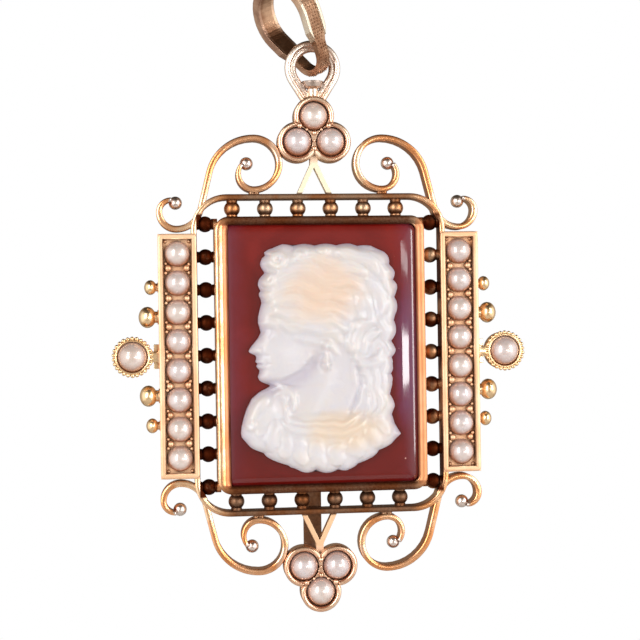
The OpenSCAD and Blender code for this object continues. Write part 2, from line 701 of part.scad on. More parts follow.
module bail() {
    color("peru") translate(bail_at - hang_at) rotate([0, -bail_lean, 0])
        rotate([0, 0, -bail_yaw]) rotate([90, 0, 0]) difference() {
            union() {
                bail_band(bail_w, -bail_t / 2, bail_t / 2);
                for (s = [-1, 1])
                    translate([0, 0, s * (bail_w - rail_w) / 2])
                        bail_band(rail_w, 0, bail_t / 2 + rail_h);
            }
            // The band narrows to its waist at the lower bend
            for (s = [-1, 1])
                rotate([0, 90, 0]) linear_extrude(4 * bail_r, center = true) polygon([
                    [s * bail_waist / 2, -2 * bail_r], [s * bail_waist / 2, 0.2 * bail_r],
                    [s * (bail_w / 2 + 0.1), bail_r], [s * 2 * bail_w, bail_r],
                    [s * 2 * bail_w, -2 * bail_r]
                ]);
        }
}

bail();
gold_mount();
cameo_plaque();
cameo_relief();
for (i = [1:bar_n]) {
    half_pearl(-bar_x, bar_z(i), bar_pearl);
    half_pearl(bar_x, bar_z(i), bar_pearl);
}
for (i = [1:3]) {
    half_pearl(TREFOIL[i - 1][0], TREFOIL[i - 1][1], tre_pearl);
    half_pearl(TREFOIL[i - 1][0], -TREFOIL[i - 1][1], tre_pearl);
}
half_pearl(-end_x, 0, end_pearl);  // pearl_end_left
half_pearl(end_x, 0, end_pearl);  // pearl_end_right
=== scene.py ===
"""Looks of the cameo pendant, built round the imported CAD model.

Lengths in this script are millimetres in the pendant's own frame: the stone's middle is 0,
the front faces -Y and +Z is up. pt() turns them into the frame's metres.
"""
import functools
import json
from math import asin, atan2, ceil, copysign, cos, degrees, exp, hypot, pi, radians, sin, sqrt

import bmesh
import bpy
import numpy as np
from mathutils import Matrix, Vector

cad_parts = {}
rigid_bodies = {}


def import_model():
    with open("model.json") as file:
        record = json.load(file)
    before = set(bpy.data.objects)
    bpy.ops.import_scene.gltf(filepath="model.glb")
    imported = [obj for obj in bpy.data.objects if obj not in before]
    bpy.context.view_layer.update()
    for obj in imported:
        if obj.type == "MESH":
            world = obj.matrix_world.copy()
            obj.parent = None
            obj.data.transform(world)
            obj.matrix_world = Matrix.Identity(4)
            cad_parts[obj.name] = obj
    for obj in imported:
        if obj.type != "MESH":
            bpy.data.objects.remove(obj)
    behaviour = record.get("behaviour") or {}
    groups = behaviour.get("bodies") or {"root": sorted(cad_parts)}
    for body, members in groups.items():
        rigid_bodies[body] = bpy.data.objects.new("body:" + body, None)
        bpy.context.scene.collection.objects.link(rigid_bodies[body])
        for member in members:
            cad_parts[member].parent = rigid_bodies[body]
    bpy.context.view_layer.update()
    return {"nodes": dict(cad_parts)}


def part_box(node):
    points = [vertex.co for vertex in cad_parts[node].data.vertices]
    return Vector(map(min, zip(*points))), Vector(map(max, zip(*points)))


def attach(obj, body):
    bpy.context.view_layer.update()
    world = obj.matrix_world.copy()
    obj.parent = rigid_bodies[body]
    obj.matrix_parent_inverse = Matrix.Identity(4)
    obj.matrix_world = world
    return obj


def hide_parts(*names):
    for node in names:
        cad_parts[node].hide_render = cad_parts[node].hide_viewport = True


for leftover in list(bpy.data.objects):
    bpy.data.objects.remove(leftover)
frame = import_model()

MM = 0.001
STONE_FRONT = -1.45
plaque_low, plaque_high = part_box("cameo_plaque")
ORIGIN = Vector(((plaque_low.x + plaque_high.x) / 2, plaque_low.y - STONE_FRONT * MM,
                 (plaque_low.z + plaque_high.z) / 2))


def pt(x, y, z):
    """A point of the pendant's own frame, in the frame's metres."""
    return ORIGIN + Vector((x, y, z)) * MM


# ---------------- the bail's place

# The trefoils and struts stand a little left of the stone's middle
MID_X = -0.35
BAIL_R, BAIL_TOP_R, BAIL_LEN = 1.7, 3.2, 4.1
BAIL_T, BAIL_W, BAIL_WAIST, RAIL_W = 0.6, 2.1, 1.2, 0.3
BAIL_YAW, BAIL_LEAN, CROSS_ANGLE = radians(60), radians(30), radians(-107)
# Where the bail's lower bend crosses the hanging ring
CROSS_SIDE, RING_Y, RING_Z, CROSS_RISE = 0.35, -0.3, 27.10, -0.25
RING_AT = (MID_X + CROSS_SIDE, RING_Y, RING_Z + CROSS_RISE)


def bail_turned(u, across, q):
    """Sideways, across the band and up in the bail's own loop, turned to how it hangs."""
    x = u * cos(BAIL_YAW) - across * sin(BAIL_YAW)
    y = -u * sin(BAIL_YAW) - across * cos(BAIL_YAW)
    return (x * cos(BAIL_LEAN) - q * sin(BAIL_LEAN), y,
            x * sin(BAIL_LEAN) + q * cos(BAIL_LEAN))


crossing = bail_turned(BAIL_R * cos(CROSS_ANGLE), 0, BAIL_R * sin(CROSS_ANGLE))
bail_at = [RING_AT[i] - crossing[i] for i in range(3)]


# ---------------- nodes of a material

class Tree:
    """Builds a node tree: sockets go in as links, numbers and colours as values."""

    def __init__(self, tree):
        self.tree = tree
        tree.nodes.clear()

    def add(self, kind, inputs=None, **settings):
        made = self.tree.nodes.new(kind)
        for key, value in settings.items():
            setattr(made, key, value)
        for key, value in (inputs or {}).items():
            self.put(made.inputs[key], value)
        return made

    def put(self, socket, value):
        if isinstance(value, bpy.types.NodeSocket):
            self.tree.links.new(value, socket)
        else:
            socket.default_value = value

    def calc(self, operation, a, b=0.0, clamp=False):
        return self.add("ShaderNodeMath", {0: a, 1: b}, operation=operation,
                        use_clamp=clamp).outputs[0]

    def times(self, a, b, clamp=False):
        return self.calc("MULTIPLY", a, b, clamp)

    def minus(self, a, b):
        return self.calc("SUBTRACT", a, b)

    def split(self, vector):
        """The vector's X, Y and Z."""
        return self.add("ShaderNodeSeparateXYZ", {0: vector}).outputs

    def cells(self, where, scale):
        """Distance to the nearest of many scattered points."""
        return self.add("ShaderNodeTexVoronoi", {"Vector": where, "Scale": scale}).outputs[0]

    def coords(self, kind):
        return self.add("ShaderNodeTexCoord").outputs[kind]

    def corners(self, reach, samples):
        """1 on open ground, less in hollows narrower than the reach in millimetres."""
        return self.add("ShaderNodeAmbientOcclusion", {"Distance": reach * MM},
                        samples=samples).outputs["AO"]

    def step(self, value, low, high):
        """Goes smoothly from 0 at low to 1 at high."""
        return self.add("ShaderNodeMapRange", {"Value": value, "From Min": low, "From Max": high},
                        interpolation_type="SMOOTHSTEP").outputs["Result"]

    def between(self, value, low, high, soft=0.2):
        """1 from low to high, falling to 0 over the soft width outside them."""
        return self.times(self.step(value, low - soft, low),
                          self.step(value, high + soft, high))

    def all_of(self, *shares, rule="MULTIPLY"):
        return functools.reduce(lambda a, b: self.calc(rule, a, b), shares)

    def most_of(self, *shares):
        return self.all_of(*shares, rule="MAXIMUM")

    def range(self, value, low, high):
        return self.add("ShaderNodeMapRange", {"Value": value, "To Min": low, "To Max": high},
                        clamp=True).outputs["Result"]

    def mix(self, share, a, b):
        """Two colours mixed. Sockets 6 and 7 of a Mix node are its colours, output 2 the result."""
        made = self.add("ShaderNodeMix", {0: share, 6: a, 7: b}, data_type="RGBA")
        return made.outputs[2]

    def tint(self, base, mask, share, shade):
        """The base turned towards a shade, by a share of the mask."""
        return self.mix(self.times(mask, share), base, shade)

    def plus(self, value, more, share):
        return self.calc("ADD", value, self.times(more, share))

    def bump(self, height, strength, depth, **shape):
        """A bump whose depth is in millimetres."""
        return self.add("ShaderNodeBump", {"Height": height, "Strength": strength,
                                           "Distance": depth * MM, **shape}).outputs[0]

    def noise(self, where, scale, detail=3.0, rough=0.55, warp=0.0):
        return self.add("ShaderNodeTexNoise", {"Vector": where, "Scale": scale, "Detail": detail,
                                               "Roughness": rough, "Distortion": warp}).outputs[0]

    def millimetres(self, turn=(0, 0, 0), stretch=(1, 1, 1)):
        """The object's own coordinates in millimetres."""
        place = self.coords("Object")
        return self.add("ShaderNodeMapping", {"Vector": place, "Rotation": turn,
                                              "Scale": [s / MM for s in stretch]}).outputs[0]


def rgb(r, g, b):
    """A colour given as it looks on screen, 0 to 255."""
    def linear(c):
        c /= 255
        return c / 12.92 if c < 0.04045 else ((c + 0.055) / 1.055) ** 2.4
    return (linear(r), linear(g), linear(b), 1.0)


def material(name):
    made = bpy.data.materials.new(name)
    made.use_nodes = True
    return made, Tree(made.node_tree)


def finish_material(t, base, rough, normal, soft=(), coat=(), **sockets):
    """Soft: the share of light let in and its reach in millimetres. Coat: weight, roughness."""
    if soft:
        sockets.update({"Subsurface Weight": soft[0], "Subsurface Radius": soft[1:],
                        "Subsurface Scale": MM})
    if coat:
        sockets.update({"Coat Weight": coat[0], "Coat Roughness": coat[1]})
    shader = t.add("ShaderNodeBsdfPrincipled", {"Base Color": base, "Roughness": rough,
                                                "Normal": normal, **sockets})
    out = t.add("ShaderNodeOutputMaterial")
    t.tree.links.new(shader.outputs[0], out.inputs[0])


# ---------------- wear and painted light of the metal

# Middles of the balls on a scroll's two tips, sideways and up from the stone's middle
TIP_BALLS = ((6.75, 18.10), (13.49, 14.42))
# A span is (axis, 0 at, 1 at) or (axis, from, to, soft width), in millimetres from the stone's
# middle. Aside and high count both ways, off counts from the line of the trefoils.
STRUT_LEGS = [("off", 2.1, 1.9), ("high", 15.25, 17.9, 0.2)]
STRUT_STEM = [("off", 0.62, 0.45), ("high", 17.9, 19.0, 0.2)]
# The gallery: a recess that gets brown painted shade
GALLERY = [("aside", 10.02, 11.56, 0.1), ("high", 13.5, 13.1)]
MIDDLE = ("aside", 10.6, 8.2)
# Tints of places, some the metal's own colour and some painted light, shade or reflection: spans,
# share, colour
TINTS = {
    # Painted dark reflection: the scrolls' fronts orange-brown
    "scrolls": ([("high", 15.2, 15.7), ("aside", 4.4, 16.0, 0.2)], 0.45, (230, 146, 88)),
    # Painted light: the bars' recess lighter, near the rim's tone
    "bars": ([("aside", 11.60, 15.25, 0.05), ("high", 11.55, 11.50)], 0.65, (253, 212, 174)),
    "ends": ([("aside", 15.35, 15.60)], 0.75, (255, 226, 178)),
    "ring": ([("up", 23.6, 25.4)], 0.75, (250, 240, 230)),
    # Painted shade: the collet's pressed-down left slope orange-brown beside the stone
    "slope": ([("right", -9.20, -8.6, 0.08), ("high", 12.7, 12.2)], 0.85, (196, 122, 82)),
    # Painted shade: the collet's right rim a darker peach
    "right_rim": ([("right", 9.1, 9.95, 0.05), ("high", 12.9, 12.3)], 0.8, (222, 152, 106)),
    "trefoils": ([("off", 4.4, 4.0), ("high", 18.3, 24.3, 0.2)], 0.6, (252, 216, 190))
}
# Brown painted shade in recesses and between parts, and painted dark reflections: spans, share
PAINTED_SHADE = {
    # Painted shade in the recesses above and below the stone
    "above_stone": ([("up", 12.45, 15.15, 0.2), MIDDLE], 0.42),
    # Painted dark reflection on the frame's top and bottom lines
    "frame_lines": ([("high", 14.45, 15.25, 0.1), ("aside", 10.0, 8.4)], 0.72),
    # Painted shade on the collet's pressed-down left slope
    "slope": (TINTS["slope"][0], 0.30),
    # Painted dark reflection on the collet's top and bottom rims
    "collet_rim": ([("high", 12.2, 13.1, 0.1), MIDDLE], 0.88),
    "below_stone": ([("up", -15.15, -12.3, 0.2), MIDDLE], 0.80),
    # Painted shadow on the strap at the back, below the stone
    "strap": ([("up", -19.0, -15.3, 0.4), ("back", 0.9, 1.3)], 0.75),
    # Painted shade in the bowl at the foot of the hanging ring
    "ring_cup": ([("up", 25.2, 25.9, 0.2), ("off", 1.3, 1.0)], 0.45)
}
# The bail: where its right arm begins, where its rails begin and how high the field is dark
RIGHT_ARM, RAIL_FROM, DARK_FROM = (-2.1, -1.3), (0.68, 0.76), (26.4, 28.0)
# Soft edges of the metal, and those of the worn ring
EDGE_SOFT, RING_SOFT = 0.09 * MM, 0.24 * MM


def mount_wear_and_painted_light(t, mm, base):
    """The mount's colour with its tinted places, its painted highlight, shade and dark reflections,
    its dull places and the ring.
    """
    split = t.split(mm)
    right, back, up = [t.minus(split[i], ORIGIN[i] / MM) for i in range(3)]
    axes = {"right": right, "back": back, "up": up, "aside": t.calc("ABSOLUTE", right),
            "high": t.calc("ABSOLUTE", up),
            "off": t.calc("ABSOLUTE", t.minus(right, MID_X))}

    def zone(spans):
        return t.all_of(*[(t.step if len(span) == 2 else t.between)(axes[axis], *span)
                          for axis, *span in spans])

    # The struts are rubbed pale, with a painted highlight: cream, lighter towards the top
    struts = t.most_of(zone(STRUT_LEGS), zone(STRUT_STEM))
    cream = t.mix(t.step(up, -1.0, 1.0), rgb(244, 204, 164), rgb(255, 244, 216))
    base = t.tint(base, struts, 0.9, cream)
    masks = {name: zone(spans) for name, (spans, _, _) in TINTS.items()}
    for name, (_, share, shade) in TINTS.items():
        base = t.tint(base, masks[name], share, rgb(*shade))
    for x, z in TIP_BALLS:
        across, rise = t.minus(axes["aside"], x), t.minus(axes["high"], z)
        away = t.plus(t.times(across, across), rise, rise)
        base = t.tint(base, t.step(away, 0.50, 0.40), 0.80, rgb(236, 230, 226))
    # Painted shade in the gallery's recess, darker at the left and in clouds
    uneven = t.range(t.step(t.noise(mm, 0.42, 1.0), 0.38, 0.60), 0.52, 1.0)
    uneven = t.plus(uneven, t.step(right, 3.0, -3.0), 0.42)
    painted_shade = t.times(zone(GALLERY), uneven)
    for spans, share in PAINTED_SHADE.values():
        painted_shade = t.calc("MAXIMUM", painted_shade, t.times(zone(spans), share))
    dull = t.most_of(masks["bars"], struts, masks["right_rim"])
    return base, painted_shade, dull, t.step(up, 23.6, 24.6)


def bail_wear_and_highlight(t, mm, base):
    """The bail's rails are rubbed pale, with a painted highlight that makes them paler on the right
    arm, and the field between them is dark.
    """
    across = bail_turned(0.0, 1.0, 0.0)
    split = t.split(mm)
    middle = [ORIGIN[i] / MM + bail_at[i] for i in range(3)]
    parts = [t.times(t.minus(split[i], middle[i]), across[i]) for i in range(3)]
    away = t.calc("ABSOLUTE", t.calc("ADD", t.calc("ADD", parts[0], parts[1]), parts[2]))
    right_arm = t.step(split["X"], *[ORIGIN.x / MM + x for x in RIGHT_ARM])
    # The rails rubbed pale, and a painted highlight on the right arm's rails
    rails = t.times(t.step(away, *RAIL_FROM), t.range(right_arm, 0.15, 0.85))
    base = t.mix(rails, base, rgb(246, 232, 208))
    high = t.step(split["Z"], *[ORIGIN.z / MM + z for z in DARK_FROM])
    field = t.all_of(t.step(away, *RAIL_FROM[::-1]), high)
    return t.tint(base, field, 0.50, rgb(128, 98, 72))


def gold_material(name, pale, deep, grime_and_shade_tone, rough_low, rough_high, stipple=0.0, mount=False,
                  bail=False, hard_edges=True):
    """Old gold: colour that drifts, brown grime and painted shade in the corners, fine wear and
    soft edges.
    """
    made, t = material(name)
    mm = t.millimetres()
    drift = t.step(t.noise(mm, 0.32, 3.0, 0.6), 0.36, 0.64)
    cloud = t.step(t.noise(mm, 1.7, 5.0, 0.6), 0.40, 0.72)
    base = t.tint(t.mix(drift, pale, deep), cloud, 0.35, deep)
    # Brown grime and painted shade in the hollows, speckled
    hollow = t.corners(0.45, 6)
    grime_and_shade = t.minus(1.0, t.step(hollow, 0.15, 0.68))
    speck = t.range(t.noise(mm, 5.0, 4.0, 0.7), 0.55, 1.25)
    grime_and_shade = t.times(t.times(grime_and_shade, speck), 0.75, clamp=True)
    rounding = EDGE_SOFT
    if mount:
        base, painted_shade, dull, ring = mount_wear_and_painted_light(t, mm, base)
        rounding = t.range(ring, EDGE_SOFT, RING_SOFT)
        grime_and_shade = t.calc("MAXIMUM", grime_and_shade, t.times(painted_shade, t.range(speck, 0.6, 1.1)))
    base = t.mix(grime_and_shade, base, grime_and_shade_tone)
    rough = t.range(t.noise(mm, 2.6, 5.0, 0.65), rough_low, rough_high)
    rough = t.calc("ADD", rough, t.times(grime_and_shade, 0.25), clamp=True)
    if bail:
        base = bail_wear_and_highlight(t, mm, base)
    if mount:
        rough = t.calc("ADD", rough, t.times(dull, 0.26), clamp=True)
    shape = {}
    if hard_edges:
        shape["Normal"] = t.add("ShaderNodeBevel", {"Radius": rounding}, samples=6).outputs[0]
    hand = t.noise(mm, 0.9, 2.0, 0.5)
    lines = t.noise(t.millimetres((0.3, 0.5, 0.2), (1.0, 9.0, 9.0)), 1.6, 3.0, 0.6)
    relief = t.plus(t.times(hand, 0.6), lines, 0.012)
    relief = t.plus(relief, t.noise(mm, 4.0, 3.0, 0.6), 0.03)
    if stipple:
        pits = t.cells(mm, 5.5)
        relief = t.plus(relief, t.step(pits, 0.1, 0.5), stipple)
    finish_material(t, base, rough, t.bump(relief, 0.40, 0.08, **shape), Metallic=1.0)
    return made


def pearl_material():
    """Old half pearls: cream with rose and grey clouds, and painted shade that browns them towards
    the seat, most on the lower side.
    """
    made, t = material("half_pearl")
    mm = t.millimetres()
    depth = t.split(t.coords("Generated"))
    chance = t.add("ShaderNodeObjectInfo").outputs["Random"]
    whole = t.mix(chance, rgb(228, 213, 204), rgb(219, 206, 206))
    patch = t.step(t.noise(mm, 0.75, 3.0, 0.55, 0.4), 0.42, 0.66)
    base = t.tint(whole, patch, 0.6, rgb(212, 188, 174))
    # Painted shade: brown towards the seat, strongest on the lower side
    edge = t.step(depth["Y"], 0.04, 0.62)
    low = t.range(t.step(depth["Z"], 0.85, 0.15), 0.45, 1.0)
    base = t.tint(base, edge, low, rgb(178, 114, 80))
    spot = t.step(t.noise(mm, 3.4, 4.0, 0.7), 0.60, 0.72)
    base = t.tint(base, spot, 0.35, rgb(214, 184, 166))
    rough = t.range(t.noise(mm, 2.2, 3.0), 0.16, 0.34)
    relief = t.plus(t.noise(mm, 1.6, 2.0), t.noise(mm, 6.0, 3.0), 0.03)
    finish_material(t, base, rough, t.bump(relief, 0.30, 0.06), (0.1, 0.4, 0.25, 0.2),
                    (1.0, 0.15), Metallic=0.28, IOR=1.7)
    return made


def ellipse(t, mm, centre, half, soft_from, soft_to):
    """1 inside an ellipse of the pendant's front and 0 outside it, in soft, ragged steps."""
    split = t.split(mm)
    x, z = [t.calc("DIVIDE", t.minus(split[axis], origin / MM + c), h)
            for axis, origin, c, h in zip("XZ", (ORIGIN.x, ORIGIN.z), centre, half)]
    away = t.plus(t.times(x, x), z, z)
    ragged = t.plus(away, t.minus(t.noise(mm, 0.6, 4.0), 0.5), 1.1)
    return t.step(ragged, soft_to, soft_from)


def stone_material():
    """Carnelian: deep red brown, cloudy, mauve towards the edges, with a few pale specks."""
    made, t = material("red_agate")
    mm = t.millimetres()
    split = t.split(t.coords("Generated"))
    cloud = t.step(t.noise(mm, 0.16, 3.0, 0.5, 0.6), 0.38, 0.66)
    base = t.mix(cloud, rgb(108, 16, 12), rgb(124, 25, 20))
    side = t.calc("ABSOLUTE", t.minus(split["X"], 0.5))
    mauve = t.step(t.plus(side, t.noise(mm, 0.5), 0.08), 0.40, 0.54)
    base = t.tint(base, mauve, 0.70, rgb(112, 46, 62))
    haze = ellipse(t, mm, (8.1, -0.4), (1.2, 6.5), 0.1, 1.6)
    base = t.tint(base, haze, 0.50, rgb(104, 64, 102))
    base = t.tint(base, t.step(split["Z"], 0.35, 0.0), 0.60, rgb(88, 12, 8))
    cells = t.cells(mm, 0.62)
    speck = t.times(t.step(cells, 0.055, 0.03), t.step(t.noise(mm, 0.3), 0.48, 0.60))
    base = t.tint(base, speck, 0.75, rgb(226, 168, 152))
    rough = t.range(t.noise(mm, 1.2, 4.0), 0.02, 0.08)
    finish_material(t, base, rough, t.bump(t.noise(mm, 0.5, 3.0), 0.07, 0.05),
                    (0.25, 1.2, 0.3, 0.2), (0.3, 0.04), IOR=1.5)
    return made


def layer_material():
    """The white layer of the agate: ivory, greyer where it is thin, with warm stains and painted
    shade in its hollows.
    """
    made, t = material("ivory_layer")
    mm = t.millimetres()
    split = t.split(mm)
    thick = t.minus(ORIGIN.y / MM + STONE_FRONT, split["Y"])
    base = t.mix(t.step(t.noise(mm, 0.28, 3.0), 0.35, 0.65), rgb(211, 207, 209),
                 rgb(216, 209, 204))
    veil = t.step(t.noise(mm, 0.9, 4.0, 0.6, 0.5), 0.50, 0.72)
    base = t.tint(base, veil, 0.35, rgb(198, 194, 206))
    base = t.tint(base, t.step(thick, 1.45, 0.45), 0.85, rgb(180, 168, 184))
    base = t.tint(base, t.step(thick, 0.50, 0.05), 0.6, rgb(150, 96, 108))
    crown_stain = ellipse(t, mm, (0.1, 6.0), (3.6, 2.9), 0.0, 1.7)
    base = t.tint(base, crown_stain, 0.72, rgb(226, 196, 168))
    gown_stain = ellipse(t, mm, (2.1, -7.2), (3.8, 1.9), 0.0, 1.7)
    base = t.tint(base, gown_stain, 0.65, rgb(224, 198, 164))
    hollow = t.corners(0.9, 8)
    # Painted shade in the hollows: lilac grey, and brown with dust in the deepest
    base = t.tint(base, t.step(hollow, 0.90, 0.40), 0.55, rgb(184, 168, 174))
    base = t.tint(base, t.step(hollow, 0.50, 0.15), 0.45, rgb(168, 132, 112))
    rough = t.range(t.noise(mm, 1.5, 4.0), 0.26, 0.42)
    grain = t.plus(t.noise(mm, 2.4, 4.0), t.noise(mm, 9.0, 3.0), 0.2)
    finish_material(t, base, rough, t.bump(grain, 0.25, 0.05), (0.55, 1.0, 0.7, 0.55),
                    (0.15, 0.2), IOR=1.53)
    return made


GOLD_TONES = (rgb(254, 216, 176), rgb(238, 164, 106), rgb(74, 30, 12))
GOLD, TRIM = [gold_material(name, *GOLD_TONES, 0.17, 0.34, mount=True, hard_edges=hard)
              for name, hard in (("old_gold", True), ("gold_trim", False))]
COPPER = gold_material("copper_gold_band", rgb(226, 182, 148), rgb(150, 98, 72),
                       rgb(50, 30, 24), 0.22, 0.40, stipple=0.25, bail=True)
PEARL = pearl_material()
STONE = stone_material()
LAYER = layer_material()

for name, node in frame["nodes"].items():
    if name.startswith("pearl"):
        chosen = PEARL
    else:
        chosen = {"bail": COPPER, "cameo_plaque": STONE, "cameo_relief": LAYER}.get(name, GOLD)
    for i in range(len(node.material_slots)):
        node.material_slots[i].material = chosen


# ---------------- mesh helpers

def add_object(name, data):
    made = bpy.data.objects.new(name, data)
    bpy.context.scene.collection.objects.link(made)
    return made


def add_mesh(name, points, faces, finish=TRIM, slot="yellow_gold", body="pendant"):
    """A smooth mesh from points in the pendant's frame, riding on a body."""
    mesh = bpy.data.meshes.new(name)
    mesh.from_pydata([pt(*p) for p in points], [], faces)
    mesh.validate()
    for polygon in mesh.polygons:
        polygon.use_smooth = True
    work = bmesh.new()
    work.from_mesh(mesh)
    bmesh.ops.recalc_face_normals(work, faces=work.faces)
    work.to_mesh(mesh)
    work.free()
    made = add_object(name, mesh)
    made.data.materials.append(finish)
    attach(made, body)
    return made


def merge(parts):
    """Several (points, faces) as one."""
    points, faces = [], []
    for p, f in parts:
        start = len(points)
        points += [tuple(q) for q in p]
        faces += [tuple(start + i for i in face) for face in f]
    return points, faces


def sweep(path, section, closed, widths=None):
    """A section (outward, depth) carried along a path in X and Z, widened where asked."""
    n, m = len(path), len(section)
    widths = widths or [1.0] * n
    points = []
    for i in range(n):
        a = path[(i - 1) % n] if closed or i else path[i]
        b = path[(i + 1) % n] if closed or i < n - 1 else path[i]
        d = hypot(b[0] - a[0], b[1] - a[1])
        out = ((b[1] - a[1]) / d, -(b[0] - a[0]) / d)
        points += [(path[i][0] + o * widths[i] * out[0], y, path[i][1] + o * widths[i] * out[1])
                   for o, y in section]
    faces = []
    for i in range(n if closed else n - 1):
        for j in range(m):
            k, l = (i + 1) % n, (j + 1) % m
            faces.append((i * m + j, i * m + l, k * m + l, k * m + j))
    if not closed:
        faces += [tuple(range(m)), tuple(range((n - 1) * m, n * m))]
    return points, faces


def round_section(radius, depth, sides=12):
    turn = [2 * pi * i / sides for i in range(sides)]
    return [(radius * cos(a), depth + radius * sin(a)) for a in turn]


def rounded_path(w, h, r, steps=8):
    """Rounded rectangle, counterclockwise as X and Z are drawn."""
    path = []
    for x, z, start in ((1, 1, 0), (-1, 1, 90), (-1, -1, 180), (1, -1, 270)):
        for i in range(steps + 1):
            a = radians(start + 90 * i / steps)
            path.append((x * (w / 2 - r) + r * cos(a), z * (h / 2 - r) + r * sin(a)))
    return path


def ball(centre, radius, finer=2):
    """A small grain of metal."""
    work = bmesh.new()
    bmesh.ops.create_icosphere(work, subdivisions=finer, radius=radius)
    points = [tuple(Vector(centre) + v.co) for v in work.verts]
    faces = [tuple(v.index for v in f.verts) for f in work.faces]
    work.free()
    return points, faces


rng = np.random.default_rng(7)

# ---------------- the bust

RELIEF_W, RELIEF_H, RELIEF_DROP, RELIEF_LEFT, RELIEF_GAP = 15.1, 21.5, 0.4, 0.2, 0.02
# The outline's rows: height, left edge and right edge, as shares of half the height and width
EDGE = [
    (-1.0, -0.1, 0.13), (-0.985, -0.24, 0.27), (-0.95, -0.38, 0.41), (-0.9, -0.53, 0.54),
    (-0.84, -0.69, 0.68), (-0.78, -0.83, 0.81), (-0.72, -0.94, 0.93), (-0.675, -0.99, 1.0),
    (-0.64, -1.0, 0.97), (-0.58, -0.99, 0.92), (-0.5, -0.96, 0.89), (-0.42, -0.92, 0.91),
    (-0.34, -0.86, 0.9), (-0.285, -0.77, 0.88), (-0.255, -0.68, 0.88), (-0.232, -0.62, 0.88),
    (-0.218, -0.66, 0.88), (-0.2, -0.73, 0.89), (-0.18, -0.765, 0.9), (-0.15, -0.78, 0.91),
    (-0.12, -0.765, 0.91), (-0.095, -0.755, 0.9), (-0.075, -0.785, 0.89), (-0.055, -0.8, 0.89),
    (-0.04, -0.775, 0.9), (-0.022, -0.81, 0.91), (-0.005, -0.8, 0.92), (0.02, -0.795, 0.93),
    (0.038, -0.81, 0.93), (0.052, -0.865, 0.93), (0.07, -0.89, 0.93), (0.095, -0.875, 0.92),
    (0.14, -0.825, 0.92), (0.19, -0.765, 0.93), (0.235, -0.735, 0.94), (0.275, -0.75, 0.95),
    (0.315, -0.768, 0.96), (0.37, -0.765, 0.95), (0.43, -0.745, 0.96), (0.49, -0.72, 0.97),
    (0.53, -0.73, 0.97), (0.58, -0.76, 0.96), (0.64, -0.75, 0.97), (0.7, -0.73, 0.95),
    (0.76, -0.7, 0.93), (0.82, -0.71, 0.91), (0.88, -0.71, 0.86), (0.93, -0.68, 0.82),
    (0.97, -0.6, 0.76), (1.0, -0.45, 0.66)
]
